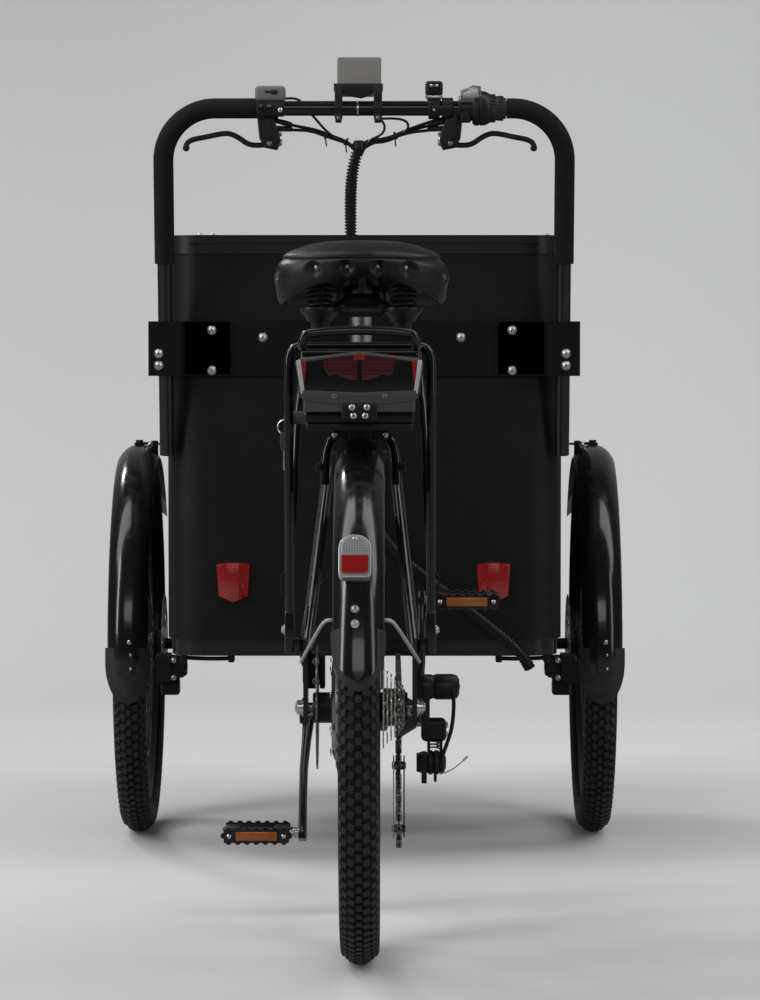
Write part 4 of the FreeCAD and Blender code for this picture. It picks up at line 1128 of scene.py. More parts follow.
def derailleur():
    axle = rear_hub
    piece = Piece("derailleur_dressed")
    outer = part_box("rear_triangle")[1].x
    mount = Vector((outer, axle.y + 0.028, axle.z + 0.024))
    cap_form = [(0, 0), (0, 0.0150), (0.012, 0.0165), (0.016, 0.0150), (0.020, 0.0168), (0.040, 0.0168),
                (0.0465, 0.0150), (0.0495, 0.0105), (0.0500, 0.0045), (0.0488, 0.0)]
    piece.add(turned(cap_form, mount, ACROSS, 40), "moulded_plastic")
    knuckle = (axle.y + 0.029, axle.z - 0.026)
    slab(strap((mount.y, mount.z), knuckle, 0.015, 0.013), outer + 0.006, 0.0105, "powder_coat", piece,
         bevel=0.0015)
    piece.add(block((outer, axle.y + 0.015, axle.z - 0.047), (outer + 0.033, axle.y + 0.043, axle.z - 0.017),
                    0.007, 5),
              "moulded_plastic")
    for off in (0.010, 0.026):
        slab(strap(knuckle, (GUIDE[0] + 0.004, GUIDE[1] + 0.008), 0.0075, 0.0085), outer + off, 0.004,
             "powder_coat", piece)
    barrel = [(-0.006, 0), (-0.006, 0.0120), (0.004, 0.0150), (0.008, 0.0135), (0.010, 0.0160),
              (0.014, 0.0160), (0.016, 0.0140), (0.018, 0.0160), (0.022, 0.0158), (0.024, 0.0138),
              (0.026, 0.0152), (0.029, 0.0148), (0.031, 0.0110), (0.0325, 0.0060), (0.0325, 0)]
    piece.add(turned(barrel, Vector((outer, GUIDE[0] + 0.001, GUIDE[1] + 0.004)), ACROSS, 36),
              "moulded_plastic")
    fin = [(GUIDE[0] - 0.012, GUIDE[1] + 0.016), (GUIDE[0] - 0.014, GUIDE[1] - 0.006),
           (GUIDE[0] - 0.002, GUIDE[1] - 0.022), (GUIDE[0] + 0.010, GUIDE[1] - 0.018),
           (GUIDE[0] + 0.014, GUIDE[1] + 0.010)]
    slab(fin, outer + 0.004, 0.007, "powder_coat", piece, bevel=0.0012)
    slab([(y + 0.002, z + 0.002) for y, z in fin], outer + 0.0185, 0.004, "powder_coat", piece, bevel=0.0012)
    end = Vector((outer + 0.024, GUIDE[0] - 0.012, GUIDE[1] - 0.010))
    piece.add(tube([end, end + Vector((0.012, -0.006, 0.004)), end + Vector((0.024, -0.012, 0.013)),
                    end + Vector((0.036, -0.016, 0.025))], 0.0008, 2), "bright_steel")
    piece.add(tube([end + Vector((0.030, -0.014, 0.019)), end + Vector((0.036, -0.016, 0.025))], 0.0014, 2),
              "bright_steel")
    loop = [(0.020, 0.030, 0.036), (0.030, 0.024, 0.040), (0.040, 0.014, 0.030), (0.043, 0.010, 0.004),
            (0.040, 0.010, -0.030), (0.032, 0.010, -0.052), (0.026, 0.008, -0.070)]
    piece.add(tube([Vector((outer + x, axle.y + y, axle.z + z)) for x, y, z in loop], 0.0026, 3),
              "cable_wrap")
    coil = helix(Vector((0, 0, 0)), 0.0058, 0, 0.024, 6, 0.0011)
    coil.transform(Matrix.Translation((outer + 0.018, GUIDE[0] + 0.016, GUIDE[1] + 0.020)))
    piece.add(coil, "bright_steel")
    span = Vector((0, TENSION[0] - GUIDE[0], TENSION[1] - GUIDE[1])).normalized()
    slot_low = (GUIDE[0] + span.y * 0.027, GUIDE[1] + span.z * 0.027)
    slot_high = (TENSION[0] - span.y * 0.027, TENSION[1] - span.z * 0.027)
    for off in (-0.0068, 0.0068):
        finish = "bright_steel" if off < 0 else "powder_coat"
        slab(strap(GUIDE, TENSION, 0.0125, 0.0115), chain_x + off, 0.0018, finish, piece,
             [strap(slot_low, slot_high, 0.0045, 0.0045)], 0.0004)
    hub_form = [(-0.009, 0), (-0.009, 0.0045), (-0.0045, 0.0055), (0.0045, 0.0055), (0.009, 0.0045),
                (0.0095, 0.003), (0.0095, 0)]
    for y, z in (GUIDE, TENSION):
        slab([(y + u, z + v) for u, v in toothed(PULLEY_TEETH)], chain_x, 0.0024, "moulded_plastic", piece,
             bevel=0.0003)
        piece.add(turned(hub_form, Vector((chain_x, y, z)), ACROSS, 24), "oiled_steel")
    bolts = [(Vector((outer + 0.0332, axle.y + y, axle.z + z)), ACROSS, UP)
             for y, z in ((0.024, -0.026), (0.036, -0.026), (0.029, -0.038))]
    bolts.append((mount + ACROSS * 0.0490, ACROSS, UP))
    piece.stamp(screw_head(0.0036, 0.002), bolts, "bright_steel")
    piece.done("rear_frame", ["derailleur"], "black_satin")


derailleur()

# %% [markdown]
# ## The saddle
# A comfort saddle is a thick foam dome over a plastic shell. Seen from behind it is a rounded band: the
# cover rolls over the edge, its sides hang lower than its back, and deep dimples with a rivet in each run
# round the back. The form is one grid of points: angles round the plan, and stations from the top's
# middle over the edge to the inside.

# %% Saddle
saddle_low, saddle_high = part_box("saddle")
SADDLE_HALF = (saddle_high.x - saddle_low.x) / 2
SADDLE_REAR = 0.085
SADDLE_LENGTH = saddle_high.y - saddle_low.y
STATIONS = [(0.0, 0.0), (0.2, -0.0004), (0.4, -0.0018), (0.56, -0.0048), (0.7, -0.0095), (0.81, -0.0145),
            (0.885, -0.0195), (0.905, -0.0235), (0.895, -0.0258), (0.925, -0.0290), (0.965, -0.0350),
            (0.990, -0.0430), (1.0, -0.0510), (0.996, -0.0575), (0.982, -0.0635)]


def saddle_plan(angle):
    """A point of the plan's outline. Angle 0 is the middle of the back and pi is the nose."""
    ahead = -math.cos(angle)
    if ahead < 0:
        return SADDLE_HALF * math.sin(angle), saddle_low.y + SADDLE_REAR * (1 + ahead)
    nose = abs(math.sin(angle)) ** 0.8 * (0.027 + (SADDLE_HALF - 0.027) * (1 - ahead) ** 1.5)
    return math.copysign(nose,
                         math.sin(angle)), saddle_low.y + SADDLE_REAR + (SADDLE_LENGTH - SADDLE_REAR) * ahead


def skirt(angle):
    """The height of the cover's lower edge: highest at the back, lowest beside the springs."""
    y = saddle_plan(angle)[1] - saddle_low.y
    fall = min(1, y / 0.1)
    rise = max(0, (y - 0.15) / 0.12)
    return saddle_high.z - 0.0520 - 0.0370 * fall * (2 - fall) + 0.016 * min(rise, 1)


def saddle_cover_mesh():
    around = 216
    form = bmesh.new()
    rings = []
    smooth = []
    for (s0, z0), (s1, z1) in zip(STATIONS, STATIONS[1:]):
        for k in range(3):
            smooth.append((s0 + (s1 - s0) * k / 3, z0 + (z1 - z0) * k / 3))
    smooth.append(STATIONS[-1])
    centre_y = saddle_low.y + SADDLE_REAR
    for scale, drop in smooth:
        ring = []
        for step in range(around):
            angle = math.tau * step / around
            x, y = saddle_plan(angle)
            low = skirt(angle)
            fit = (saddle_high.z - low) / 0.0890 if scale > 0.9 else 1
            z = saddle_high.z + drop * (1 + (fit - 1) * (scale - 0.9) / 0.1 if scale > 0.9 else 1)
            if y > centre_y:
                z -= 0.004 * ((y - centre_y) / 0.17) ** 2 * (1 - scale)
            ring.append(Vector((x * scale, centre_y + (y - centre_y) * scale, max(z, low + 0.012))))
        rings.append(ring)
    for scale, lift in ((0.965, 0.0075), (0.940, 0.0026), (0.905, 0.0), (0.865, 0.0022), (0.835, 0.0080),
                        (0.82, 0.015), (0.80, 0.023), (0.7, 0.03), (0.4, 0.034)):
        ring = []
        for step in range(around):
            angle = math.tau * step / around
            x, y = saddle_plan(angle)
            ring.append(Vector((x * scale, centre_y + (y - centre_y) * scale,
                                min(skirt(angle) + lift, saddle_high.z - 0.026))))
        rings.append(ring)
    grid = [[form.verts.new(point) for point in ring] for ring in rings[1:]]
    for one, two in zip(grid, grid[1:]):
        for step in range(around):
            after = (step + 1) % around
            form.faces.new((one[step], one[after], two[after], two[step]))
    top = form.verts.new(rings[0][0])
    floor = form.verts.new((0, centre_y, rings[-1][0].z))
    for step in range(around):
        after = (step + 1) % around
        form.faces.new((top, grid[0][after], grid[0][step]))
        form.faces.new((floor, grid[-1][step], grid[-1][after]))
    bmesh.ops.smooth_vert(form, verts=form.verts, factor=0.5, use_axis_x=True, use_axis_y=True,
                          use_axis_z=True)
    bmesh.ops.recalc_face_normals(form, faces=form.faces)
    return form


DIMPLES = [math.radians(a) for a in (-78, -33.5, -10.5, 11, 34, 76)]


def dimple_at(angle):
    x, y = saddle_plan(angle)
    return Vector((x * 0.985, saddle_low.y + SADDLE_REAR + (y - saddle_low.y - SADDLE_REAR) * 0.985,
                   saddle_high.z - (0.0385 if abs(angle) < 1 else 0.0450)))


def saddle():
    form = saddle_cover_mesh()
    rivets = []
    for angle in DIMPLES:
        spot = dimple_at(angle)
        out = Vector((math.sin(angle), -math.cos(angle), -0.1)).normalized()
        near = min(form.verts, key=lambda v: (v.co - spot).length)
        spot = near.co.copy()
        for vert in form.verts:
            reach = (vert.co - spot).length
            if reach < 0.0115:
                vert.co -= out * 0.0088 * (0.5 + 0.5 * math.cos(math.pi * reach / 0.0115)) ** 0.55
        rivets.append((spot - out * 0.0086, out, UP))
    piece = Piece("saddle_cover")
    piece.add(form, "saddle_cover")
    head = turned([(-0.001, 0), (-0.001, 0.0036), (0.0008, 0.0032), (0.0016, 0.0018), (0.0017, 0)], Vector(),
                  UP, 12)
    piece.stamp(head, rivets, "brushed_alloy")
    return piece.done("rear_frame", ["saddle"], "saddle", 50)


saddle_piece = saddle()
print("saddle triangles", sum(len(f.vertices) - 2 for f in saddle_piece.data.polygons))

# %% [markdown]
# ## Springs under the saddle
# Two coil springs stand in turned cups and carry the back of the saddle. A coil is a helix, swept with a
# round wire. The rails run from the nose to the cups through the clamp on the seat post.

# %% Undercarriage
SPRING_X = 0.056


def undercarriage():
    post_top = Vector((0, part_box("seat_post")[0].y + 0.0135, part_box("seat_post")[1].z))
    clamp = Vector((0, post_top.y - 0.006, saddle_high.z - 0.0895))
    spring_y = clamp.y - 0.066
    piece = Piece("undercarriage")
    piece.add(turned([(0, 0), (0, 0.0134), (0.040, 0.0134), (0.040, 0)], clamp + Vector((0, 0.0105, -0.032)),
                     (clamp - post_top).normalized(), 40), "brushed_alloy")
    cup_top = clamp.z - 0.001
    under = saddle_high.z - 0.050
    for sign in (-1, 1):
        centre = Vector((sign * SPRING_X, spring_y, 0))
        cup = [(-0.019, 0), (-0.019, 0.0165), (-0.012, 0.0200), (-0.0065, 0.0262), (-0.002, 0.027),
               (0.0, 0.0265), (0.0, 0.0225), (-0.003, 0.0215), (-0.0035, 0)]
        piece.add(turned(cup, centre + UP * cup_top, UP, 48), "moulded_plastic")
        nut = [(-0.030, 0), (-0.030, 0.010), (-0.027, 0.012), (-0.0185, 0.012), (-0.0185, 0)]
        piece.add(turned(nut, centre + UP * cup_top, UP, 24), "moulded_plastic")
        piece.add(helix(centre, 0.0163, cup_top - 0.001, under - 0.004, 5.2, 0.0026), "powder_coat")
        piece.add(turned([(0, 0), (0, 0.008), (under - cup_top, 0.008), (under - cup_top, 0)],
                         centre + UP * cup_top, UP, 24), "moulded_plastic")
        cap = [(0, 0), (0, 0.0200), (0.004, 0.0215), (0.007, 0.0190), (0.008, 0)]
        piece.add(turned(cap, centre + UP * (under - 0.006), UP, 40), "moulded_plastic")
        rail = [(sign * 0.010, clamp.y + 0.11, under - 0.006), (sign * 0.016, clamp.y + 0.092, under - 0.012),
                (sign * 0.020, clamp.y + 0.05, clamp.z + 0.012), (sign * 0.020, clamp.y, clamp.z + 0.010),
                (sign * 0.026, clamp.y - 0.024, clamp.z + 0.008),
                (sign * 0.046, clamp.y - 0.05, clamp.z - 0.010),
                (sign * SPRING_X, spring_y + 0.002, clamp.z - 0.015)]
        piece.add(tube(rail, 0.004), "powder_coat")
        strut = Matrix.Rotation(sign * -0.24, 4, "Y")
        piece.add(block((sign * 0.0275 - 0.0028, spring_y + 0.006, clamp.z + 0.008),
                        (sign * 0.0275 + 0.0028, spring_y + 0.032, under + 0.002), 0.001, 2, strut),
                        "moulded_plastic")
    piece.add(block((-0.026, clamp.y - 0.022, clamp.z - 0.002), (0.026, clamp.y + 0.026, clamp.z + 0.018),
                    0.004, 3),
              "powder_coat")
    piece.add(block((-0.030, spring_y - 0.004, clamp.z - 0.014), (0.030, spring_y + 0.004, clamp.z - 0.002),
                    0.002, 2),
              "powder_coat")
    piece.done("rear_frame", ["saddle_undercarriage"], "black_satin")


undercarriage()

# %% [markdown]
# ## Lamps and reflectors
# The tail lamp closes the battery's rear end: a black window with two deep red fields and a bright red
# strip at each side, over a grey lip. The small lamp on the mudguard has a clear upper half and a red
# lower half in a pale frame. The box carries two red reflectors, each of three upright facets.

# %% Rear lamps
def outline_at(points, y, thick, bevel=0.0006):
    """A plate that faces back, from (x, z) points, with its rear face at y."""
    turn = Matrix.Translation((0, y + thick / 2, 0)) @ Matrix.Rotation(math.pi / 2, 4, "X")
    return plate(points, thick, turn, bevel=bevel)


def arc_points(centre_x, centre_z, radius_x, radius_z, start, end, steps=12):
    return [(centre_x + radius_x * math.cos(math.radians(start + (end - start) * k / steps)),
             centre_z + radius_z * math.sin(math.radians(start + (end - start) * k / steps)))
             for k in range(steps + 1)]


def tail_lamp():
    low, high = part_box("tail_lamp")
    back, peak, foot = low.y, 0.7915, 0.7275
    top_half, foot_half, corner = 0.0778, 0.0715, 0.7825
    piece = Piece("tail_lamp_dressed")
    shell = [(-foot_half, foot + 0.010), (-foot_half + 0.006, foot + 0.003), (0, foot),
             (foot_half - 0.006, foot + 0.003), (foot_half, foot + 0.010), (top_half, corner - 0.004),
             (top_half - 0.004, corner), (0, peak), (-top_half + 0.004, corner), (-top_half, corner - 0.004)]
    piece.add(outline_at(shell, back + 0.004, high.y - back - 0.004, 0.002), "satin_case")
    battery_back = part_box("battery")[1].y
    case = [(-0.0735, foot + 0.012), (-0.070, foot + 0.008), (0.070, foot + 0.008), (0.0735, foot + 0.012),
            (0.0750, corner - 0.004), (0.0700, corner + 0.001), (-0.0700, corner + 0.001),
            (-0.0750, corner - 0.004)]
    piece.add(outline_at(case, high.y - 0.001, battery_back - high.y, 0.003), "moulded_plastic")
    rim = 0.7465
    window = [(-0.0705, rim), (0, rim - 0.0035), (0.0705, rim), (top_half - 0.0035, corner - 0.003),
              (0, peak - 0.002), (-top_half + 0.0035, corner - 0.003)]
    piece.add(outline_at(window, back + 0.0016, 0.003, 0.0006), "display_glass")
    for sign in (-1, 1):
        edge = [(top_half, corner - 0.001), (top_half - 0.0036, corner - 0.0008), (0.0690, rim - 0.004),
                (0.0722, rim - 0.005)]
        strip = [(0.0735, corner - 0.0025), (0.0665, corner - 0.0005), (0.0680, rim + 0.014),
                 (0.0698, rim + 0.006), (0.0722, rim + 0.014)]
        bowl = arc_points(0.0035, corner + 0.0005, 0.0345, -0.0250, 0, 90, 12)
        field = [(0.0455, corner + 0.0012), (0.0430, corner - 0.012), (0.0380, corner - 0.0195)] \
            + [p for p in bowl if p[0] < 0.030] + [(0.0035, corner + 0.0012)]
        for points, lift, thick, bevel, name in (
                (edge, 0.0002, 0.005, 0.0008, "pearl"), (strip, 0.0008, 0.003, 0.0004, "red_lens"),
                (field, 0.0010, 0.0012, 0.0002, "dark_red_lens")):
            points = [(sign * x, z) for x, z in points]
            piece.add(outline_at(points[::sign], back + lift, thick, bevel), name)
    crown = [(-0.046, corner + 0.0018), (0.046, corner + 0.0018), (0.012, peak - 0.0026), (0, peak - 0.0010),
             (-0.012, peak - 0.0026)]
    piece.add(outline_at(crown, back + 0.0008, 0.002, 0.0003), "dark_red_lens")
    piece.add(outline_at([(-0.007, corner + 0.001), (0.007, corner + 0.001), (0.005, peak - 0.0016),
                          (-0.005, peak - 0.0016)],
                         back + 0.0004, 0.002, 0.0003), "red_lens")
    lip = [(-0.0705, rim - 0.0025), (-0.0690, foot + 0.006), (-0.030, foot + 0.002), (0, foot + 0.001),
           (0.030, foot + 0.002), (0.0690, foot + 0.006), (0.0705, rim - 0.0025), (0, rim - 0.0055)]
    piece.add(outline_at(lip, back, 0.006, 0.0014), "satin_case")
    screws = [(Vector((sign * 0.0315, back + 0.0002, foot + 0.0105)), -ALONG, UP) for sign in (-1, 1)]
    piece.stamp(screw_head(0.0032, 0.0012), screws, "oiled_steel")
    piece.done("rear_frame", ["tail_lamp", "battery"], "red_lens")


tail_lamp()


def guard_lamp():
    low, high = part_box("guard_lamp")
    centre = (low + high) / 2
    tilt = Matrix.Translation(centre + Vector((-0.0045, 0.0150, 0.0215))) @ Matrix.Rotation(math.radians(-30),
            4, "X")
    stand = Matrix.Rotation(math.pi / 2, 4, "X")
    outline = arc_points(0, 0.011, 0.0185, 0.017, 0, 180, 14) + arc_points(-0.0125, -0.0215, 0.006, 0.006,
            180, 270, 5) \
        + arc_points(0.0125, -0.0215, 0.006, 0.006, 270, 360, 5)
    piece = Piece("guard_lamp_dressed")
    piece.add(plate(outline, 0.013, tilt @ Matrix.Translation((0, -0.001, 0)) @ stand, bevel=0.0016),
              "clear_lens")
    inner = [(x * 0.86, z * 0.88 + 0.0002) for x, z in outline]
    upper = [(x, z) for x, z in inner if z > 0.0]
    upper = [(0.0159, 0.0005)] + upper + [(-0.0159, 0.0005)]
    lower = [(-0.0159, -0.0015)] + [(x, z) for x, z in inner if z < -0.002] + [(0.0159, -0.0015)]
    piece.add(plate(upper, 0.004, tilt @ Matrix.Translation((0, -0.0082, 0)) @ stand, bevel=0.0008),
              "clear_lens")
    piece.add(plate(lower, 0.004, tilt @ Matrix.Translation((0, -0.0084, 0)) @ stand, bevel=0.0008),
              "red_lens")
    screw = tilt @ Vector((0, -0.0102, 0.0215))
    piece.stamp(screw_head(0.0028, 0.0016), [(screw, tilt.to_3x3() @ -ALONG, UP)], "bright_steel")
    piece.done("rear_frame", ["guard_lamp"], "clear_lens")


guard_lamp()


def reflectors():
    """Two red shields, each of three upright facets under a low arch."""
    low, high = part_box("reflectors")
    depth = high.y - low.y
    half, third, taper = 0.0255, 0.0090, 0.003
    outline = [(-half, high.z - 0.0035), (-third, high.z - 0.0005), (third, high.z - 0.0005),
               (half, high.z - 0.0035), (half - taper, low.z + 0.0100), (third, low.z + 0.0035), (0, low.z),
               (-third, low.z + 0.0035), (taper - half, low.z + 0.0100)]
    front = [(x * 0.95, low.z + 0.0015 + (z - low.z) * 0.95) for x, z in outline]
    fall = [max(0, (abs(x) - third) / (half - third)) * 0.4 * depth for x, z in front]
    piece = Piece("reflectors_dressed")
    for sign in (-1, 1):
        mid = sign * 0.197 - 0.0015
        form = bmesh.new()
        base = [form.verts.new((mid + x, high.y - 0.0002, z)) for x, z in outline]
        edge = [form.verts.new((mid + x, high.y - 0.35 * depth, z)) for x, z in outline]
        face = [form.verts.new((mid + x, low.y + back, z)) for (x, z), back in zip(front, fall)]
        for one, two in ((base, edge), (edge, face)):
            for i in range(len(outline)):
                after = (i + 1) % len(outline)
                form.faces.new((one[i], one[after], two[after], two[i]))
        for corners in ((0, 1, 7, 8), (1, 2, 5, 6, 7), (2, 3, 4, 5)):
            form.faces.new([face[i] for i in corners])
        form.faces.new(base[::-1])
        bmesh.ops.recalc_face_normals(form, faces=form.faces)
        bmesh.ops.bevel(form, geom=form.edges[:], offset=0.0005, segments=2, affect="EDGES", profile=0.5)
        piece.add(form, "red_lens")
    piece.done("front_module", ["reflectors"], "red_lens", 20)


reflectors()
print("lamps are on")

# %% [markdown]
# ## The cockpit
# Everything on the handlebar is clamped round it, so each control starts with a collar. The brake levers
# are a cranked body, a curved blade with a ball end and a silver adjuster. The gear shifter is a twist
# grip with a fluted cone. All cables run to one tied bundle below the display, and from there into a
# corrugated conduit.

# %% Cockpit
bar_low, bar_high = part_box("handlebar")
BAR_RADIUS = 0.011
BAR = Vector((0, bar_low.y + BAR_RADIUS, bar_high.z - BAR_RADIUS))


def at_bar(x, ahead, up):
    return BAR + Vector((x, ahead, up))


def collar(x0, x1, radius, edge=0.0012):
    """A ring clamped round the bar."""
    profile = [(x0, BAR_RADIUS), (x0, radius - edge), (x0 + edge, radius), (x1 - edge, radius),
               (x1, radius - edge), (x1, BAR_RADIUS)]
    return ringed(profile, BAR, ACROSS, 40)


def standing(points, ahead, thick, bevel=0.0012):
    """A plate in the bar's upright plane, from (x, height over the bar) points."""
    return outline_at([(x, BAR.z + z) for x, z in points], BAR.y + ahead, thick, bevel)


def ball(place, radius):
    form = bmesh.new()
    bmesh.ops.create_uvsphere(form, u_segments=20, v_segments=12, radius=radius,
                              matrix=Matrix.Translation(place))
    return form


def brake_lever(piece, sign, x):
    """One lever. Distances u run outward from the lever's place on the bar."""
    def at(u, ahead, up):
        return at_bar(x + sign * u, ahead, up)

    piece.add(collar(x - 0.0085, x + 0.0085, 0.0158), "moulded_plastic")
    body = [(0.0185, 0.006), (0.0200, -0.010), (0.0165, -0.044), (0.0105, -0.055), (-0.0050, -0.058),
            (-0.0085, -0.050), (-0.0075, -0.037), (-0.0005, -0.020), (-0.0020, 0.006)]
    body = [(x + sign * u, z) for u, z in body]
    piece.add(standing(body if sign < 0 else body[::-1], -0.004, 0.026, 0.003), "moulded_plastic")
    rib = [(x + sign * u, z) for u,
           z in ((0.014, -0.006), (0.0125, -0.042), (0.0035, -0.046), (0.0035, -0.006))]
    piece.add(standing(rib if sign < 0 else rib[::-1], -0.0062, 0.004, 0.0012), "moulded_plastic")
    blade = [at(u, ahead, up) for u, ahead, up in (
        (0.000, 0.010, -0.0525), (0.018, 0.010, -0.0545), (0.036, 0.010, -0.0535), (0.050, 0.008, -0.043),
        (0.064, 0.006, -0.0365), (0.078, 0.005, -0.0375), (0.100, 0.004, -0.0425), (0.120, 0.004, -0.046),
        (0.129, 0.004, -0.0525), (0.1285, 0.004, -0.058))]
    piece.add(tube(blade, 0.0041, 5), "moulded_plastic")
    piece.add(ball(at(0.1285, 0.004, -0.0585), 0.0052), "moulded_plastic")
    screws = [(at(0.0045, -0.0045, -0.052), -ALONG, UP), (at(0.0095, -0.0045, 0.001), -ALONG, UP)]
    piece.stamp(screw_head(0.0036, 0.0022), screws, "oiled_steel")
    knurls = [(0, 0.0), (0, 0.0050), (0.0015, 0.0058), (0.0050, 0.0058), (0.0060, 0.0046), (0.0075, 0.0046),
              (0.0080, 0.0)]
    for up in (-0.036, -0.050):
        piece.add(turned(knurls, at(-0.0065, 0.006, up), ACROSS * -sign, 14), "bright_steel")
    for up, slope in ((-0.0170, -0.25), (-0.0285, -0.08)):
        run = (ACROSS * -sign + UP * slope).normalized()
        sleeve = [(0, 0), (0, 0.0036), (0.018, 0.0042), (0.028, 0.0034), (0.029, 0)]
        piece.add(turned(sleeve, at(-0.0015, 0.008, up), run, 16), "cable_wrap")


def display():
    piece = Piece("display_dressed")
    lean = Matrix.Translation((0, BAR.y - 0.014, BAR.z + 0.018)) @ Matrix.Rotation(math.radians(-20), 4, "X")
    screen = block((-0.0398, 0.0006, 0.0006), (0.0256, 0.0084, 0.0632), 0.003, 4)
    screen.transform(lean)
    piece.add(screen, "display_case")
    piece.done("front_module", ["display"], "screen")

    piece = Piece("display_bracket_dressed")
    for low, high in ((-0.0435, -0.0320), (0.0145, 0.0270)):
        piece.add(collar(low, high, 0.0165), "moulded_plastic")
        piece.add(block((low, BAR.y - 0.014, BAR.z - 0.002), (high, BAR.y + 0.003, BAR.z + 0.034), 0.0015),
                  "moulded_plastic")
        piece.add(block((low + 0.001, BAR.y - 0.0165, BAR.z - 0.022),
                        (high - 0.001, BAR.y - 0.006, BAR.z - 0.008),
                        0.002), "moulded_plastic")
        bolt = [(at_bar((low + high) / 2, -0.0166, -0.015), -ALONG, UP)]
        piece.stamp(screw_head(0.0028, 0.0018), bolt, "oiled_steel")
    foot = [(-0.0435, 0.035), (-0.0435, 0.026), (-0.034, 0.026), (-0.030, 0.020), (-0.004, 0.0155),
            (0.010, 0.020), (0.016, 0.026), (0.027, 0.026), (0.027, 0.035)]
    piece.add(standing(foot[::-1], -0.013, 0.012, 0.0012), "moulded_plastic")
    piece.add(collar(-0.0105, -0.0078, 0.0118, 0.0004), "bright_steel")
    piece.done("front_module", ["display_bracket"], "black_satin")


def thumb_control():
    piece = Piece("thumb_control_dressed")
    piece.add(block((-0.1612, BAR.y - 0.020, BAR.z + 0.010), (-0.1165, BAR.y + 0.014, BAR.z + 0.0325), 0.0052,
                    5),
              "display_case")
    piece.add(block((-0.1590, BAR.y - 0.019, BAR.z - 0.012), (-0.1180, BAR.y + 0.012, BAR.z + 0.0115), 0.003,
                    3),
              "moulded_plastic")
    piece.add(collar(-0.1580, -0.1460, 0.0168), "moulded_plastic")
    slot_form = block((-0.1470, BAR.y - 0.0207, BAR.z + 0.0215), (-0.1275, BAR.y - 0.018, BAR.z + 0.0255),
                      0.0012, 2)
    piece.add(slot_form, "display_glass")
    key = block((-0.1370, BAR.y - 0.0216, BAR.z + 0.0196), (-0.1285, BAR.y - 0.019, BAR.z + 0.0262), 0.0010,
                2)
    piece.add(key, "moulded_plastic")
    for low, high in ((-0.1565, -0.1500), (-0.1465, -0.1360)):
        piece.add(block((low, BAR.y - 0.0200, BAR.z - 0.0075), (high, BAR.y - 0.0185, BAR.z + 0.0055), 0.0006,
                        2),
                  "display_glass")
    bolt = [(at_bar(-0.1240, -0.0190, -0.0035), -ALONG, UP)]
    piece.stamp(screw_head(0.0034, 0.002), bolt, "bright_steel")
    piece.done("front_module", ["thumb_control"], "plastic")


def bell():
    """The small pod beside the right lever: a box with rounded edges on a clamp, over a silver shim."""
    piece = Piece("pod")
    low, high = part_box("bell")
    mid = (low + high) / 2
    piece.add(collar(mid.x - 0.0085, mid.x + 0.0085, 0.0162), "moulded_plastic")
    piece.add(block((mid.x - 0.013, mid.y - 0.0125, BAR.z + 0.0185), (mid.x + 0.013, mid.y + 0.0125, high.z),
                    0.0045, 4),
              "moulded_plastic")
    piece.add(block((mid.x - 0.0085, mid.y - 0.0145, BAR.z + 0.0235),
                    (mid.x + 0.0085, mid.y - 0.011, high.z - 0.004),
                    0.0012, 2), "display_glass")
    piece.add(block((mid.x - 0.0128, mid.y - 0.012, BAR.z + 0.0145),
                    (mid.x + 0.0128, mid.y + 0.012, BAR.z + 0.0190),
                    0.0012, 2), "bright_steel")
    piece.add(block((mid.x - 0.0100, mid.y - 0.010, BAR.z + 0.0080),
                    (mid.x + 0.0100, mid.y + 0.010, BAR.z + 0.0148),
                    0.0012, 2), "moulded_plastic")
    bolts = [(Vector((mid.x + x, mid.y - 0.0146, BAR.z + z)), -ALONG, UP) for x,
             z in ((-0.0045, 0.033), (0.0045, 0.033))]
    bolts.append((at_bar(mid.x, -0.0155, -0.003), -ALONG, UP))
    piece.stamp(screw_head(0.0018, 0.0010), bolts, "bright_steel")
    piece.done("front_module", ["bell"], "black_satin")


def shifter():
    piece = Piece("shifter_dressed")
    piece.add(collar(0.1400, 0.1640, 0.0185, 0.002), "moulded_plastic")
    piece.add(block((0.1435, BAR.y - 0.017, BAR.z - 0.0215), (0.1590, BAR.y + 0.004, BAR.z + 0.004), 0.003,
                    3),
              "moulded_plastic")
    cap = [(0.1440, 0.0105), (0.1460, 0.0235), (0.1620, 0.0300), (0.1700, 0.0290), (0.1725, 0.0105)]
    piece.add(standing(cap[::-1], -0.020, 0.028, 0.003), "oiled_steel")
    face = [(0.1478, 0.0145), (0.1490, 0.0215), (0.1620, 0.0268), (0.1680, 0.0262), (0.1690, 0.0145)]
    piece.add(standing(face[::-1], -0.0208, 0.003, 0.0008), "brushed_alloy")
    drum = [(0.1610, BAR_RADIUS), (0.1610, 0.0225), (0.1640, 0.0255), (0.1700, 0.0258), (0.1716, 0.0244),
            (0.1732, 0.0258), (0.1800, 0.0252), (0.1840, 0.0232), (0.1860, 0.0222), (0.1860, BAR_RADIUS)]
    piece.add(ringed(drum, BAR, ACROSS, 56), "moulded_plastic")
    core = [(0.1850, BAR_RADIUS), (0.1850, 0.0205), (0.2090, 0.0158), (0.2110, 0.0150), (0.2110, BAR_RADIUS)]
    piece.add(ringed(core, BAR, ACROSS, 48), "flap_rubber")
    ribs = []
    for i in range(22):
        a = math.tau * i / 22
        for x, radius in ((0.1905, 0.0200), (0.2025, 0.0175)):
            out = Vector((0, math.cos(a), math.sin(a)))
            ribs.append((BAR + ACROSS * x + out * radius, out, ACROSS))
    rib = block((-0.0011, -0.0046, -0.0026), (0.0011, 0.0046, 0.0011), 0.0006, 2)
    piece.stamp(rib, ribs, "flap_rubber")
    piece.done("front_module", ["twist_shifter"], "plastic")


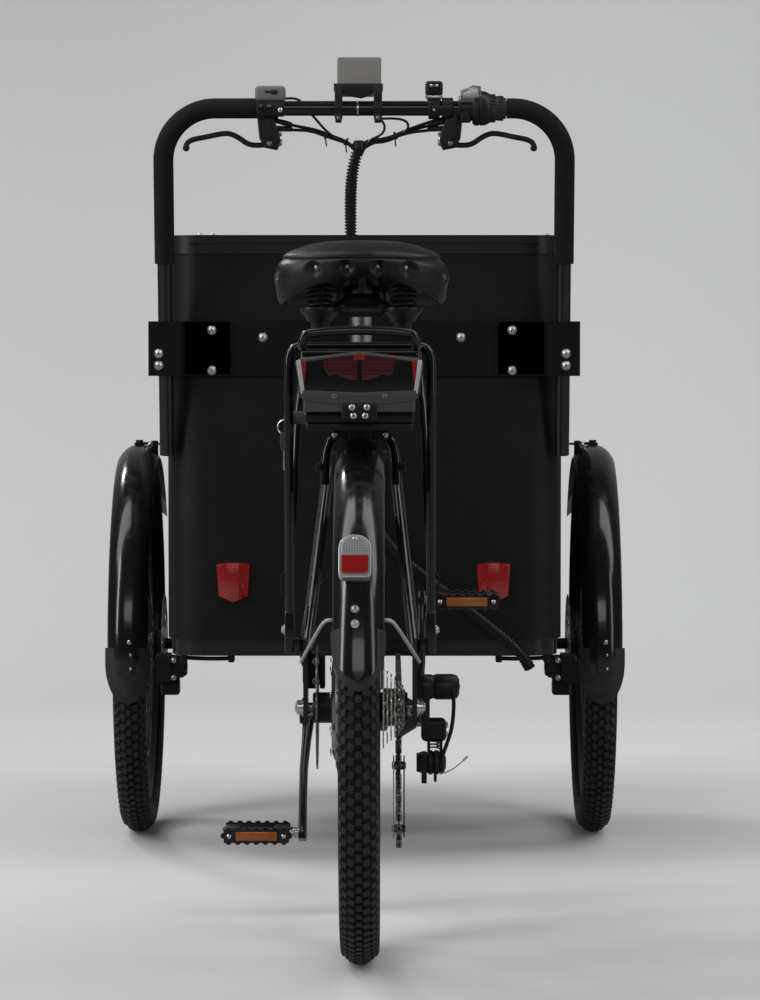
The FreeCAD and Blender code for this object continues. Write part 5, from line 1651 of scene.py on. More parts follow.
finish = Finish("display_case", (0.14, 0.135, 0.125), 0.5, Specular_IOR_Level=0.3)
finish.feed("Roughness", finish.noise(60, 3) * 0.14 + 0.42)
finish.bump(finish.cells(1600), 0.00008, 0.3)
piece = Piece("brake_levers_dressed")
brake_lever(piece, -1, -0.136)
brake_lever(piece, 1, 0.124)
piece.done("front_module", ["brake_levers"], "black_satin")
display()
thumb_control()
bell()
shifter()
print("cockpit is fitted")

# %% [markdown]
# ## Cables
# The cables meet in a bundle held by two ties, and dive into the conduit. The conduit is a plastic tube
# with a ring every five millimetres, stamped along its line, which follows the CAD loom down the back of
# the box and under it.

# %% Cables and conduit
def line_places(points, pitch):
    """Evenly spaced places along a smooth line, each with its direction and a side."""
    curve = smooth_line(points)
    form = from_curve(curve)
    path = [vert.co.copy() for vert in form.verts]
    form.free()
    places = []
    need = 0.0
    for one, two in zip(path, path[1:]):
        run = (two - one).length
        while need < run:
            toward = (two - one).normalized()
            side = toward.cross(ALONG if abs(toward.y) < 0.9 else UP).normalized()
            places.append((one + toward * need, toward, side))
            need += pitch
        need -= run
    return places


def cable(piece, points, radius=0.0024):
    piece.add(tube([at_bar(x, ahead, z - BAR.z) for x, ahead, z in points], radius, 3), "cable_wrap")


def tie(piece, x, ahead, z, radius, lean):
    """A cable tie: a band round the bundle, its head and the cut end."""
    run = (ACROSS + UP * lean).normalized()
    centre = at_bar(x, ahead, z - BAR.z)
    piece.add(ringed([(-0.0016, radius - 0.001), (-0.0016, radius + 0.0008), (0.0016, radius + 0.0008),
                      (0.0016, radius - 0.001)], centre, run, 24), "moulded_plastic")
    piece.add(block(centre + Vector((-0.003, -radius - 0.004, -0.003)),
                    centre + Vector((0.003, -radius + 0.001, 0.003)),
                    0.0008, 2), "moulded_plastic")
    tail = centre + Vector((0.0, -radius - 0.001, -0.001))
    piece.add(tube([tail, tail + Vector((-0.001, -0.001, -0.008)), tail + Vector((0.001, -0.001, -0.0155))],
                   0.0011, 2),
              "moulded_plastic")


def control_cables():
    piece = Piece("cables_dressed")
    cable(piece, [(-0.150, 0.009, 1.1335), (-0.134, 0.009, 1.1290), (-0.1105, 0.012, 1.1220),
                  (-0.0746, 0.016, 1.1160), (-0.0546, 0.020, 1.1086), (-0.0290, 0.024, 1.0995),
                  (-0.0150, 0.026, 1.0900), (-0.0110, 0.026, 1.0780)])
    cable(piece, [(-0.146, 0.009, 1.1190), (-0.1305, 0.009, 1.1170), (-0.1105, 0.011, 1.1146),
                  (-0.0800, 0.013, 1.1140), (-0.0546, 0.016, 1.1046), (-0.0267, 0.020, 1.0960),
                  (-0.0140, 0.024, 1.0880), (-0.0080, 0.026, 1.0770)])
    cable(piece, [(-0.1185, 0.004, 1.1605), (-0.1050, 0.010, 1.1625), (-0.0930, 0.015, 1.1575),
                  (-0.0860, 0.016, 1.1470), (-0.0746, 0.016, 1.1340), (-0.0566, 0.016, 1.1130),
                  (-0.0400, 0.020, 1.1010), (-0.0200, 0.026, 1.0930), (-0.0060, 0.028, 1.0760)], 0.0019)
    cable(piece, [(0.0210, 0.008, 1.1330), (0.0300, 0.008, 1.1260), (0.0310, 0.012, 1.1130),
                  (0.0212, 0.016, 1.1050), (0.0052, 0.020, 1.0990), (-0.0040, 0.025, 1.0780)], 0.0019)
    cable(piece, [(0.136, 0.009, 1.1310), (0.122, 0.009, 1.1330), (0.0999, 0.012, 1.1273),
                  (0.0657, 0.016, 1.1155), (0.0350, 0.019, 1.1020), (0.0052, 0.022, 1.1000),
                  (-0.0060, 0.025, 1.0900), (-0.0090, 0.026, 1.0760)])
    cable(piece, [(0.130, 0.009, 1.1190), (0.117, 0.009, 1.1190), (0.0980, 0.011, 1.1140),
                  (0.0695, 0.013, 1.1115), (0.0450, 0.016, 1.1040), (0.0200, 0.020, 1.0995),
                  (-0.0020, 0.022, 1.0930), (-0.0120, 0.025, 1.0760)])
    cable(piece, [(0.0270, 0.006, 1.1310), (0.0467, 0.006, 1.1320), (0.0640, 0.010, 1.1280),
                  (0.0670, 0.012, 1.1170), (0.0540, 0.015, 1.1060), (0.0300, 0.020, 1.0960),
                  (0.0040, 0.024, 1.0960), (-0.0100, 0.027, 1.0780)],
          0.0019)
    cable(piece, [(0.150, 0.010, 1.1290), (0.130, 0.013, 1.1265), (0.0850, 0.018, 1.1190),
                  (0.0500, 0.021, 1.1085), (0.0230, 0.024, 1.0990), (0.0, 0.027, 1.0900),
                  (-0.0090, 0.029, 1.0770)], 0.0022)
    tie(piece, -0.0566, 0.018, 1.1070, 0.0052, -0.35)
    tie(piece, 0.0467, 0.017, 1.1065, 0.0052, 0.35)
    tie(piece, -0.0267, 0.021, 1.0975, 0.0050, -0.5)
    piece.done("front_module", slot="rubber")


def conduit():
    piece = Piece("conduit")
    low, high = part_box("cable_loom")
    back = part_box("handlebar_band")[0].y - 0.0093
    line = [Vector(p) for p in (
        (-0.0080, BAR.y + 0.026, high.z - 0.004), (-0.0130, BAR.y + 0.027, high.z - 0.018),
        (-0.0190, BAR.y + 0.032, 1.045), (-0.0205, back - 0.020, 1.010), (-0.0205, back - 0.006, 0.965),
        (-0.0180, back, 0.900), (-0.0160, back, 0.800), (-0.0140, back, 0.700), (-0.0100, back, 0.640),
        (-0.0040, back, 0.595), (0.0150, back, 0.530), (0.0400, back, 0.487), (0.0900, back, 0.446),
        (0.1300, back, 0.415), (0.1650, back, 0.388), (0.2000, back, 0.361),
        (0.2250, back, 0.340), (0.2430, back + 0.003, 0.320), (0.2500, back + 0.007, low.z + 0.006))]
    piece.add(tube(line, 0.0066, 4), "cable_wrap")
    ring = ringed([(-0.0015, 0.0062), (-0.0009, 0.0090), (0.0009, 0.0090), (0.0015, 0.0062)], Vector(), UP,
                  16)
    piece.stamp(ring, line_places(line, 0.0050), "cable_wrap")
    mouth = turned([(-0.002, 0), (-0.002, 0.0088), (0.006, 0.0096), (0.011, 0.0070), (0.011, 0)], line[0], UP,
                   24)
    piece.add(mouth, "cable_wrap")
    piece.done("front_module", ["cable_loom"], "rubber")


control_cables()
conduit()
print("cables are tied")

# %% [markdown]
# ## Rack, tray and keys
# The rack is bent from one tube: two rails that rise into a bow behind the battery. Its legs stand on the
# dropouts, and a thinner strut meets each leg halfway. The battery slides out over a tray, below which
# two brackets are bolted.

# %% Rack and tray
def mirrored(points):
    return [(-x, y, z) for x, y, z in points]


def rack():
    piece = Piece("rack_dressed")
    front, back, z = rear_hub.y + 0.180, rear_hub.y - 0.132, 0.7985
    half, leg = 0.0715, 0.0915
    side = [(half, front, z), (half, back + 0.030, z), (half, back + 0.004, z),
            (half + 0.001, back - 0.003, z + 0.003), (0.0685, back - 0.006, z + 0.0155),
            (0.0620, back - 0.007, z + 0.0178), (0.030, back - 0.007, z + 0.0205)]
    bow = [Vector(p) for p in side + [(0, back - 0.007, z + 0.0212)] + mirrored(side)[::-1]]
    piece.add(tube(bow, 0.0058, 5), "black_lacquer")
    for y, low, radius in ((back + 0.052, 0.002, 0.0042), (back + 0.006, -0.0065, 0.0042),
                           (rear_hub.y + 0.06, 0, 0.0042), (front, 0, 0.0045)):
        piece.add(tube([Vector((-half, y, z + low)), Vector((half, y, z + low))], radius, 4), "black_lacquer")
    bolts = []
    for sign in (-1, 1):
        foot = rear_hub.z + 0.080
        post = [(half, -0.020, z), (half + 0.010, -0.020, z + 0.001), (leg - 0.002, -0.020, z - 0.008),
                (leg, -0.020, z - 0.020), (leg, -0.019, z - 0.080), (leg, 0.006, foot + 0.060),
                (leg, 0.008, foot)]
        strut = [(half + 0.004, 0.150, z - 0.004), (half + 0.007, 0.142, z - 0.050),
                 (leg - 0.008, 0.110, z - 0.085), (leg - 0.003, 0.006, 0.535), (leg - 0.001, 0.004, 0.515)]
        stay = [(half, 0.180, z), (0.066, 0.196, z - 0.018), (0.030, 0.300, 0.690), (0.020, 0.318, 0.678)]
        for line, radius in ((post, 0.0060), (strut, 0.0046), (stay, 0.0040)):
            piece.add(tube([Vector((sign * x, rear_hub.y + y, up)) for x, y, up in line], radius, 5),
                      "black_lacquer")
        inner, outer = sorted((sign * 0.074, sign * (leg + 0.0065)))
        piece.add(block((inner, rear_hub.y + 0.001, foot - 0.010), (outer, rear_hub.y + 0.015, foot + 0.012),
                        0.003),
                  "black_lacquer")
        piece.add(block(sorted((sign * (leg - 0.007), sign * (leg + 0.0065)))[:1]
                        + [rear_hub.y, foot - 0.010],
                        sorted((sign * (leg - 0.007), sign * (leg + 0.0065)))[1:]
                        + [rear_hub.y + 0.016, foot + 0.045],
                        0.003), "black_lacquer")
        bolts.append((Vector((sign * (leg + 0.0060), rear_hub.y + 0.008, foot + 0.020)), ACROSS * sign, UP))
        wire = [(leg + 0.005, 0.508), (leg + 0.0105, 0.506), (leg + 0.0105, 0.480), (leg + 0.005, 0.474)]
        piece.add(tube([Vector((sign * x, rear_hub.y + 0.004, up)) for x, up in wire], 0.0012, 2),
                  "powder_coat")
    washer = turned([(0, 0), (0, 0.0068), (0.0014, 0.0066), (0.0016, 0)], Vector(), UP, 20)
    piece.stamp(washer, bolts, "bright_steel")
    nuts = [(place + side * 0.0015, side, up) for place, side, up in bolts]
    piece.stamp(screw_head(0.0050, 0.0036), nuts, "bright_steel")
    piece.done("rear_frame", ["rear_rack"], "black_gloss")


def battery_tray():
    low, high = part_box("battery")
    back = low.y
    piece = Piece("tray_dressed")
    for top, bottom, half, start in ((0.7385, 0.7175, 0.0700, -0.024), (0.7165, 0.7040, 0.0690, -0.006),
                                     (0.7035, 0.6935, 0.0670, 0.0)):
        finish = "satin_case" if bottom > 0.715 else "moulded_plastic"
        piece.add(block((-half, back + start, bottom), (half, high.y - 0.010, top), 0.003), finish)
    guard_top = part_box("mudguard_rear")[1].z
    piece.add(block((-0.0250, back + 0.055, 0.6945), (0.0250, back + 0.1500, 0.7200), 0.003),
              "moulded_plastic")
    piece.add(block((-0.0225, back - 0.0270, 0.7080), (0.0225, back - 0.0020, 0.7300), 0.003),
              "moulded_plastic")
    piece.add(block((-0.0150, back + 0.100, guard_top - 0.004), (0.0150, back + 0.138, 0.6950), 0.002),
              "powder_coat")
    bolts = [(Vector((x, back - 0.0272, z)), -ALONG, UP) for x, z in (
        (-0.0090, 0.7235), (0.0095, 0.7235), (-0.0070, 0.7130), (0.0075, 0.7130))]
    piece.stamp(screw_head(0.0040, 0.0028), bolts, "bright_steel")
    lugs = [(Vector((sign * 0.032, back + 0.100, 0.6860)), -ALONG, UP) for sign in (-1, 1)]
    piece.stamp(screw_head(0.0046, 0.0050), lugs, "bright_steel")
    for sign in (-1, 1):
        piece.add(block(sorted((sign * 0.014, sign * 0.036))[:1] + [back + 0.100, 0.6790],
                        sorted((sign * 0.014, sign * 0.036))[1:] + [back + 0.106, 0.6950], 0.002),
                        "powder_coat")
    piece.done("rear_frame", ["battery_tray"], "plastic")


def keys():
    """The battery's lock with its key, on the left."""
    piece = Piece("keys")
    lock = Vector((-0.0640, rear_hub.y + 0.030, 0.7060))
    piece.add(turned([(0, 0), (0, 0.0085), (0.030, 0.0085), (0.0315, 0.0070), (0.0315, 0)], lock, -ACROSS,
                     28), "satin_case")
    hook = lock + Vector((-0.0335, 0, 0))
    piece.add(block(hook + Vector((-0.0012, -0.004, -0.006)), hook + Vector((0.004, 0.004, 0.006)), 0.001, 2),
              "bright_steel")
    ring = ringed([(math.cos(a) * 0.0009, 0.0098 + math.sin(a) * 0.0009)
                   for a in [math.tau * k / 8 for k in range(8)]],
                  hook + Vector((-0.0005, 0, -0.0125)), Vector((0.35, 1, 0)).normalized(), 32)
    piece.add(ring, "bright_steel")
    head = [(-0.0050, 0), (0.0050, 0), (0.0062, -0.012), (0.0040, -0.0215), (-0.0040, -0.0215),
            (-0.0062, -0.012)]
    piece.add(outline_at([(hook.x + x, hook.z - 0.0200 + z) for x, z in head][::-1], hook.y - 0.002, 0.0032,
                         0.001),
              "satin_case")
    blade = [(-0.0026, 0), (0.0026, 0), (0.0026, -0.026), (0.0, -0.0300), (-0.0026, -0.027)]
    piece.add(outline_at([(hook.x + x, hook.z - 0.0405 + z) for x, z in blade][::-1], hook.y - 0.001, 0.0018,
                         0.0003),
              "bright_steel")
    piece.done("rear_frame", slot="steel")


rack()
battery_tray()
keys()
print("rack and tray are on")

# %% [markdown]
# ## Mudguards
# Each mudguard is a crowned shell that ends in a rounded rubber flap. Guard and flap are skins bent round
# the wheel: rows of points whose half width shrinks like an ellipse toward the end. Two pale wire stays
# hold the rear guard.

# %% Guards and flaps
def guard_skin(centre, radius, half, first, round_from, last, crown, thick=0.0016, rows=30, columns=16):
    """A shell round a wheel from one angle to another, with a rounded end."""
    form = bmesh.new()
    shells = []
    for lift in (0, thick):
        grid = []
        for row in range(rows + 1):
            degrees = first + (last - first) * row / rows
            part = max(0, (degrees - round_from) / (last - round_from))
            width = half * math.sqrt(max(0, 1 - part ** 2.2)) + 0.0004
            line = []
            for column in range(columns + 1):
                across = width * (2 * column / columns - 1)
                reach = radius + lift - crown * abs(across / half) ** 2.6
                angle = math.radians(degrees)
                line.append(form.verts.new(centre + Vector((across, reach * math.cos(angle),
                                                            reach * math.sin(angle)))))
            grid.append(line)
        shells.append(grid)
    for grid in shells:
        for one, two in zip(grid, grid[1:]):
            for column in range(columns):
                form.faces.new((one[column], one[column + 1], two[column + 1], two[column]))
    inner, outer = shells
    border = [(0, c) for c in range(columns)] + [(r, columns) for r in range(rows)] \
        + [(rows, c) for c in range(columns, 0, -1)] + [(r, 0) for r in range(rows, 0, -1)]
    for (r0, c0), (r1, c1) in zip(border, border[1:] + border[:1]):
        form.faces.new((inner[r0][c0], inner[r1][c1], outer[r1][c1], outer[r0][c0]))
    bmesh.ops.recalc_face_normals(form, faces=form.faces)
    return form


def rear_guard():
    centre = Vector((0, rear_hub.y, rear_hub.z))
    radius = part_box("mudguard_rear")[1].z - rear_hub.z
    piece = Piece("rear_guard")
    piece.add(guard_skin(centre, radius - 0.0014, 0.0315, 28, 157.5, 169.4, 0.0200, rows=110, columns=24),
              "black_lacquer")
    piece.done("rear_frame", ["mudguard_rear"], "black_gloss")
    piece = Piece("rear_guard_end")
    piece.add(guard_skin(centre, radius - 0.0030, 0.0335, 158, 159, 171.2, 0.0190), "flap_rubber")
    bolts = []
    for z in (0.4825, 0.4652):
        angle = math.pi - math.asin((z - rear_hub.z) / radius)
        out = Vector((0, math.cos(angle), math.sin(angle)))
        bolts.append((centre + out * (radius + 0.0004) + ACROSS * -0.004, out, ACROSS))
    washer = turned([(0, 0), (0, 0.0056), (0.0012, 0.0054), (0.0014, 0)], Vector(), UP, 20)
    piece.stamp(washer, bolts, "bright_steel")
    piece.stamp(screw_head(0.0042, 0.0040), bolts, "bright_steel")
    piece.done("rear_frame", ["mud_flap_rear"], "rubber")

    piece = Piece("guard_stays_dressed")
    low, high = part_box("guard_stays_rear")
    for sign in (-1, 1):
        wire = [(0.0300, low.y + 0.018, high.z - 0.004), (0.0345, low.y + 0.014, high.z - 0.003),
                (0.0400, low.y + 0.016, high.z - 0.004), (0.0480, low.y + 0.035, high.z - 0.014),
                (0.0765, high.y, low.z)]
        piece.add(tube([Vector((sign * x, y, z)) for x, y, z in wire], 0.0023, 4), "pearl")
    piece.done("rear_frame", ["guard_stays_rear"], "steel")


def front_guards():
    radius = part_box("mudguards_front")[1].z - front_hub["left"].z
    piece = Piece("front_guards")
    for centre in front_hub.values():
        piece.add(guard_skin(centre, radius - 0.0014, 0.0310, 40, 175, 185.5, 0.0190, rows=110, columns=24),
                  "black_lacquer")
    piece.done("front_module", ["mudguards_front"], "black_gloss")
    piece = Piece("front_guard_ends")
    bolts = []
    for centre in front_hub.values():
        piece.add(guard_skin(centre, radius - 0.0034, 0.0345, 176.5, 180.5, 192.3, 0.0165), "flap_rubber")
        piece.add(guard_skin(centre, radius - 0.0020, 0.0270, 178, 179.0, 189.8, 0.0120, 0.0017),
                  "flap_rubber")
        for degrees, x in ((174.9, 0.004), (178.4, 0.006), (182.2, 0.006)):
            out = Vector((0, math.cos(math.radians(degrees)), math.sin(math.radians(degrees))))
            bolts.append((centre + out * (radius + (0.0024 if degrees < 184 else 0.0040)) + ACROSS * x, out,
                          ACROSS,
                          (1, 1, 1) if degrees < 176 else (0.55, 0.55, 0.5)))
    piece.stamp(screw_head(0.0036, 0.0028), bolts, "bright_steel")
    piece.done("front_module", ["mud_flaps_front"], "rubber")


rear_guard()
front_guards()
print("guards are closed")

# %% [markdown]
# ## Cranks and pedals
# A forged arm is thick at the axle and slims toward the pedal, stepping outward past the chainstays. The
# pedals are metal cages with teeth along both edges, and an amber reflector in each long side.

# %% Cranks and pedals
def crank_arms():
    piece = Piece("cranks_dressed")
    piece.add(turned([(-0.080, 0), (-0.080, 0.0110), (0.080, 0.0110), (0.080, 0)],
                     Vector((0, crank_hub.y, crank_hub.z)), ACROSS, 32), "powder_coat")
    for side, sign in SIDES:
        eye = middle("pedal_" + side)
        hub = Vector((0, crank_hub.y, crank_hub.z))
        reach = Vector((0, eye.y - hub.y, eye.z - hub.z))
        toward = reach.normalized()
        rows = []
        form = bmesh.new()
        plan = [(-0.08, 0.0765, 0.013, 0.0075), (0.0, 0.0770, 0.0160, 0.0085), (0.09, 0.0775, 0.0145, 0.0080),
                (0.22, 0.0795, 0.0118, 0.0066), (0.45, 0.0830, 0.0104, 0.0060),
                (0.72, 0.0840, 0.0098, 0.0058), (0.92, 0.0842, 0.0108, 0.0060), (1.0, 0.0842, 0.0125, 0.0062),
                (1.06, 0.0842, 0.0095, 0.0058)]
        for part, x, wide, thick in plan:
            middle_point = hub + reach * part + ACROSS * sign * x
            wide_way = toward.cross(ACROSS)
            rows.append([form.verts.new(middle_point + wide_way * wide
                                        * math.copysign(abs(math.cos(a)) ** 0.5, math.cos(a))
                                        + ACROSS * thick * math.copysign(abs(math.sin(a)) ** 0.5,
                                                math.sin(a)))
                         for a in [math.tau * k / 24 for k in range(24)]])
        for one, two in zip(rows, rows[1:]):
            for k in range(24):
                form.faces.new((one[k], one[(k + 1) % 24], two[(k + 1) % 24], two[k]))
        form.faces.new(rows[0])
        form.faces.new(rows[-1])
        bmesh.ops.recalc_face_normals(form, faces=form.faces)
        piece.add(form, "black_lacquer")
        cap = [(0, 0), (0, 0.0125), (0.004, 0.0120), (0.005, 0.0100), (0.005, 0.0055), (0.0035, 0.0050),
               (0.0035, 0)]
        piece.add(turned(cap, hub + ACROSS * sign * 0.0845, ACROSS * sign, 32), "powder_coat")
        spindle = [(0, 0), (0, 0.0075), (0.006, 0.0075), (0.007, 0.0052), (0.1020, 0.0046), (0.1020, 0)]
        piece.add(turned(spindle, Vector((sign * 0.0895, eye.y, eye.z)), ACROSS * sign, 24), "bright_steel")
    spider = turned([(0.0490, 0.030), (0.0520, 0.034), (0.0560, 0.030), (0.0760, 0.018), (0.0760, 0.010),
                     (0.0490, 0.010)],
                    Vector((0, crank_hub.y, crank_hub.z)), ACROSS, 40)
    piece.add(spider, "powder_coat")
    piece.done("crank", ["cranks"], "black_gloss")


def toothed_bar(x0, x1, low, high):
    """A side plate's outline with teeth along its upper and lower edges."""
    teeth, tall = 7, 0.0026
    points = []
    step = (x1 - x0) / teeth
    for i in range(teeth):
        points += [(x0 + step * (i + 0.18), low), (x0 + step * (i + 0.36), low - tall),
                   (x0 + step * (i + 0.64), low - tall), (x0 + step * (i + 0.82), low)]
    top = [(x0 + x1 - x, low + high - z) for x, z in points]
    return [(x0, low)] + points + [(x1, low), (x1, high)] + top + [(x0, high)]


def pedal(side, sign):
    low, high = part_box("pedal_" + side)
    centre = (low + high) / 2
    piece = Piece("pedal_dressed_" + side)
    inside = min(low.x, high.x, key=abs)
    body = [(0.004, 0.0058), (0.004, 0.0120), (0.022, 0.0120), (0.025, 0.0090), (0.070, 0.0090),
            (0.073, 0.0120), (0.090, 0.0120), (0.094, 0.0100), (0.094, 0.0058)]
    piece.add(ringed(body, Vector((inside, centre.y, centre.z)), ACROSS * sign, 32), "powder_coat")
    for end in (-1, 1):
        y = centre.y + end * 0.0370
        edge = toothed_bar(low.x + 0.004, high.x - 0.004, low.z + 0.0030, high.z - 0.0030)
        piece.add(outline_at(edge, y - 0.0020, 0.004, 0.0005), "black_lacquer")
        lens_y = y + end * 0.0018
        lens = block((low.x + 0.020, lens_y - 0.0022, centre.z - 0.0062),
                     (high.x - 0.020, lens_y + 0.0022, centre.z + 0.0062),
                     0.0010, 2)
        piece.add(lens, "amber_lens")
        frame_block = block((low.x + 0.017, y - 0.0028, centre.z - 0.0082), (high.x - 0.017, y + 0.0028,
                                                                           centre.z + 0.0082), 0.0012, 2)
        piece.add(frame_block, "moulded_plastic")
        for x in (low.x + 0.003, high.x - 0.003):
            toe = [Vector((x, y, centre.z)), Vector((x, y - end * 0.012, centre.z)),
                   Vector((x + (centre.x - x) * 0.10, centre.y + end * 0.006, centre.z))]
            piece.add(tube(toe, 0.0042, 3), "powder_coat")
        for x in (centre.x - 0.022, centre.x + 0.022):
            piece.add(block((x - 0.006, min(y, centre.y), centre.z - 0.0045),
                            (x + 0.006, max(y, centre.y), centre.z + 0.0045),
                            0.001, 2), "powder_coat")
    screws = [(Vector((x, centre.y + end * 0.0392, centre.z)), ALONG * end, UP)
              for x in (low.x + 0.011, high.x - 0.011) for end in (-1, 1)]
    piece.stamp(screw_head(0.0030, 0.0016), screws, "bright_steel")
    piece.done("pedal_" + side, ["pedal_" + side], "black_satin")


crank_arms()
for side, sign in SIDES:
    pedal(side, sign)
print("pedals are on")

# %% [markdown]
# ## Bolts, brackets and calipers
# A black vehicle lives from its small bright parts. Button bolts with washers hold the bracket plates to
# the band and the clamps to the bar, and the brackets of the guards. Each bolt is one stamp of a turned
# head with a recess.

# %% Bolts and calipers
def bolts_at(piece, places, radius, facing=-ALONG):
    """Button bolts with washers."""
    washer = radius * 1.4
    ring = turned([(0, 0), (0, washer), (0.0010, washer), (0.0013, washer * 0.95), (0.0013, 0)], Vector(), UP,
                  24)
    piece.stamp(ring, [(place, facing, UP) for place in places], "bright_steel")
    heads = [(place + facing * 0.0012, facing, UP) for place in places]
    piece.stamp(screw_head(radius, radius * 0.6), heads, "bright_steel")


def box_fittings():
    piece = Piece("box_fittings")
    band_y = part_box("handlebar_band")[0].y
    face = band_y - 0.0050
    for x0, x1 in ((-0.2725, -0.2000), (0.2000, 0.2725)):
        piece.add(block((x0, face, 0.7485), (x1, band_y + 0.001, 0.8310), 0.0016, 2), "black_lacquer")
    plates = [Vector((x, face, z)) for x,
              z in ((-0.230, 0.8164), (-0.230, 0.756), (0.223, 0.8164), (0.223, 0.756))]
    inner = [Vector((x, band_y, 0.8058)) for x in (-0.153, 0.146)]
    bolts_at(piece, plates + inner, 0.0048)
    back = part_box("handlebar_clamps")[0].y
    clamp = [Vector((x, back, z)) for x, z in (
        (-0.3086, 0.7816), (-0.3086, 0.7635), (0.3031, 0.7816), (0.3031, 0.7635))]
    bolts_at(piece, clamp, 0.0048)
    rim_low, rim_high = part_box("box_rim")
    bolts_at(piece, [Vector((x, rim_low.y + 0.008, rim_high.z)) for x in (-0.248, -0.2285, 0.276)], 0.0026,
             UP)
    # Painted shadow: a thin black strip under the rim's top edge stands in for the shade in the gap below the
    # lid.
    piece.add(block((-0.2640, rim_low.y - 0.0006, 0.9468), (0.2640, rim_low.y + 0.002, 0.9486), 0.0004, 1),
              "display_glass")
    piece.done("front_module", slot="steel")


def guard_fittings():
    """The bracket on top of each front guard: a folded strap, two bolts and the stay's end."""
    piece = Piece("guard_fittings")
    low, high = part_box("guard_brackets")
    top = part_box("mudguards_front")[1].z
    for side, sign in SIDES:
        x = front_hub[side].x
        inner, outer = sorted((sign * 0.3400, sign * 0.3740))
        piece.add(block((inner, low.y, top + 0.0010), (outer, high.y, top + 0.0045), 0.0012, 2),
                  "powder_coat")
        piece.add(block((min(sign * 0.338, sign * 0.349), low.y + 0.002, top - 0.0200),
                        (max(sign * 0.338, sign * 0.349), high.y - 0.002, top + 0.0070), 0.002, 2),
                        "powder_coat")
        bolts_at(piece, [Vector((sign * 0.3500, low.y, top + 0.0010)),
                         Vector((sign * 0.3655, low.y - 0.001, top - 0.0130))],
                 0.0034)
        bolts_at(piece, [Vector((x, (low.y + high.y) / 2, top + 0.0040))], 0.0040, UP)
    piece.done("front_module", slot="steel")


def calipers():
    """A two-part body with its bolts, the arm that the cable pulls and the cable's end."""
    piece = Piece("front_calipers")
    low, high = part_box("brake_calipers_front")
    for sign in (-1, 1):
        x0, x1 = sign * 0.3195, sign * 0.2990
        a, b = sorted((x0, x1))
        piece.add(block((a, low.y + 0.004, low.z + 0.002), (b, high.y - 0.004, high.z - 0.003), 0.005, 3),
                  "powder_coat")
        drum = [(0, 0), (0, 0.0130), (0.006, 0.0130), (0.007, 0.0105), (0.010, 0.0100), (0.012, 0.0070),
                (0.012, 0)]
        centre = Vector((x1 + sign * 0.001, (low.y + high.y) / 2, low.z + 0.020))
        piece.add(turned(drum, centre, -ACROSS * sign, 28), "moulded_plastic")
        arm = tube([centre + Vector((-sign * 0.009, 0, 0)), centre + Vector((-sign * 0.010, -0.012, 0.014)),
                    centre + Vector((-sign * 0.008, -0.020, 0.027))], 0.0036, 3)
        piece.add(arm, "powder_coat")
        hose = [centre + Vector((-sign * 0.008, -0.020, 0.027)),
                centre + Vector((-sign * 0.010, -0.016, 0.046)),
                centre + Vector((-sign * 0.020, 0.010, 0.062)),
                centre + Vector((-sign * 0.040, 0.040, 0.066))]
        piece.add(tube(hose, 0.0024, 3), "cable_wrap")
        rear = low.y + 0.004
        bolts_at(piece, [Vector((sign * 0.3090, rear, z)) for z in (high.z - 0.009, low.z + 0.009)], 0.0032)
        piece.add(block((min(sign * 0.300, sign * 0.330), low.y + 0.010, low.z - 0.0200),
                        (max(sign * 0.300, sign * 0.330), high.y - 0.008, low.z + 0.004), 0.004, 3),
                        "powder_coat")
    piece.done("front_module", slot="black_satin")

    piece = Piece("rear_caliper")
    low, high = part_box("brake_caliper_rear")
    piece.add(block((low.x - 0.0060, low.y + 0.006, low.z + 0.004),
                    (low.x + 0.004, high.y - 0.006, high.z - 0.004), 0.004, 3),
              "powder_coat")
    bolts_at(piece, [Vector(((low.x + high.x) / 2, low.y, z)) for z in (low.z + 0.010, high.z - 0.010)],
             0.0034)
    arm = tube([Vector((low.x - 0.004, low.y + 0.014, low.z + 0.030)),
                Vector((low.x - 0.008, low.y + 0.004, high.z)),
                Vector((low.x - 0.006, low.y - 0.002, high.z + 0.016))], 0.0034, 3)
    piece.add(arm, "powder_coat")
    hose = [Vector((low.x - 0.006, low.y - 0.002, high.z + 0.016)),
            Vector((low.x - 0.004, low.y + 0.010, high.z + 0.050)),
            Vector((-0.0620, rear_hub.y + 0.120, 0.470)), Vector((-0.0500, rear_hub.y + 0.230, 0.480))]
    piece.add(tube(hose, 0.0024, 3), "cable_wrap")
    piece.done("rear_frame", slot="black_satin")


def rear_axle():
    """Stepped nuts outside the dropouts, on an axle rod between them."""
    piece = Piece("axle_nuts")
    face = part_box("rear_axle")[1].x - 0.0110
    for sign in (-1, 1):
        nut = [(0, 0), (0, 0.0120), (0.0018, 0.0120), (0.0020, 0.0095), (0.0078, 0.0095), (0.0088, 0.0084),
               (0.0088, 0.0062), (0.0108, 0.0060), (0.0110, 0)]
        piece.add(turned(nut, Vector((sign * face, rear_hub.y, rear_hub.z)), ACROSS * sign, 6 * 4),
                  "bright_steel")
    piece.add(turned([(-0.0735, 0), (-0.0735, 0.0062), (0.0735, 0.0062), (0.0735, 0)],
                     Vector((0, rear_hub.y, rear_hub.z)),
                     ACROSS, 20), "oiled_steel")
    piece.done("rear_frame", ["rear_axle"], "steel")


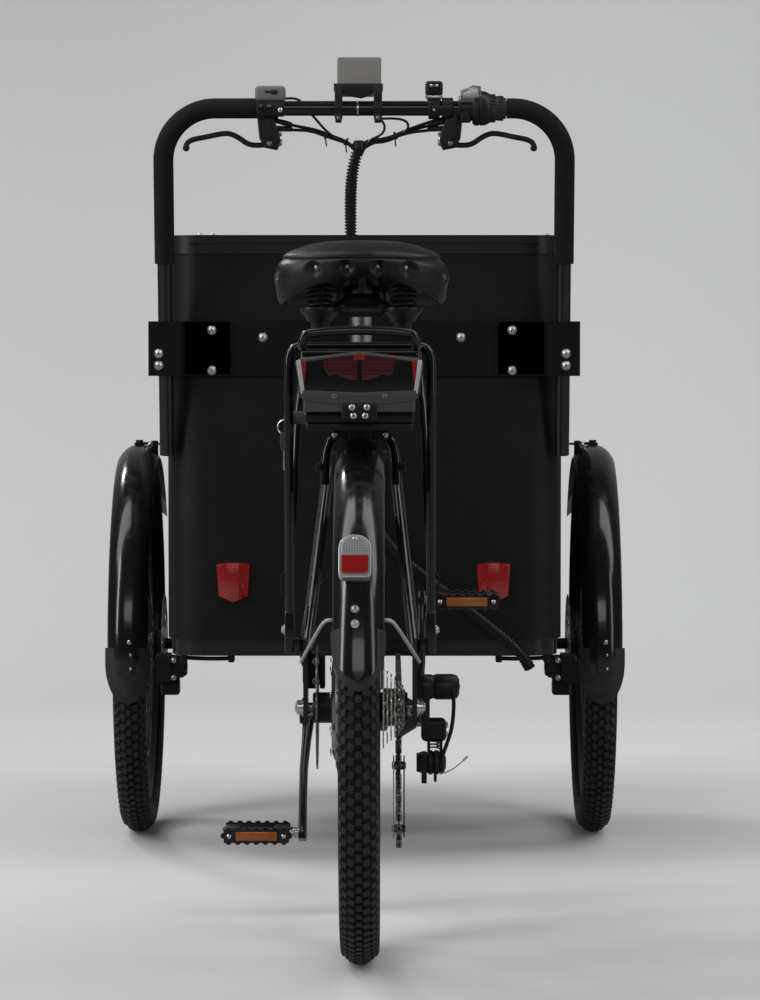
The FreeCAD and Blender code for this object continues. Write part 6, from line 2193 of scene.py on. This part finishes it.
def seat_bridge():
    """Two bolts and the hooped bridge that ties the seatstays, and thin rods below the box."""
    piece = Piece("frame_fittings")
    y = rear_hub.y + 0.120
    hoop = [(sign_x, y, z) for sign_x,
            z in ((-0.0480, 0.615), (-0.0475, 0.650), (-0.0400, 0.6750), (-0.0220, 0.6890),
                                             (0.0, 0.6920), (0.0220, 0.6890), (0.0400, 0.6750),
                                             (0.0475, 0.650), (0.0480, 0.615))]
    piece.add(tube([Vector(p) for p in hoop], 0.0062, 5), "black_lacquer")
    lugs = [Vector((sign * 0.0535, y, 0.6380)) for sign in (-1, 1)]
    for place, sign in zip(lugs, (-1, 1)):
        bolts_at(piece, [place], 0.0042, ACROSS * sign)
        piece.add(block(place - Vector((0.006, 0.006, 0.006)), place + Vector((0.006, 0.006, 0.006)), 0.002,
                        2),
                  "powder_coat")
    piece.done("rear_frame", slot="black_gloss")

    piece = Piece("tie_rods")
    for sign in (-1, 1):
        rod = [(sign * 0.292, 0.330, 0.3050), (sign * 0.250, 0.306, 0.3030), (sign * 0.205, 0.296, 0.3060)]
        piece.add(tube([Vector(p) for p in rod], 0.0034, 3), "powder_coat")
        for x in (0.208, 0.282):
            piece.add(block((sign * x - 0.005, 0.286, 0.3000), (sign * x + 0.005, 0.312, 0.3160), 0.002, 2),
                      "powder_coat")
    piece.done("front_module", slot="black_satin")


def headlamp():
    low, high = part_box("headlamp")
    centre = (low + high) / 2
    piece = Piece("headlamp_lens")
    rim = [(-0.002, 0.0300), (-0.002, 0.0325), (0.0, 0.0328), (0.0, 0.0300)]
    piece.add(ringed(rim, Vector((centre.x, high.y, centre.z)), ALONG, 48), "bright_steel")
    lens = [(-0.0050, 0.0300), (-0.0028, 0.0296), (-0.0012, 0.0200), (-0.0004, 0.0100), (-0.0002, 0)]
    piece.add(turned(lens, Vector((centre.x, high.y, centre.z)), ALONG, 48), "clear_lens")
    piece.done("front_module", slot="clear_lens")


box_fittings()
guard_fittings()
calipers()
rear_axle()
seat_bridge()
headlamp()
print("fittings are on")
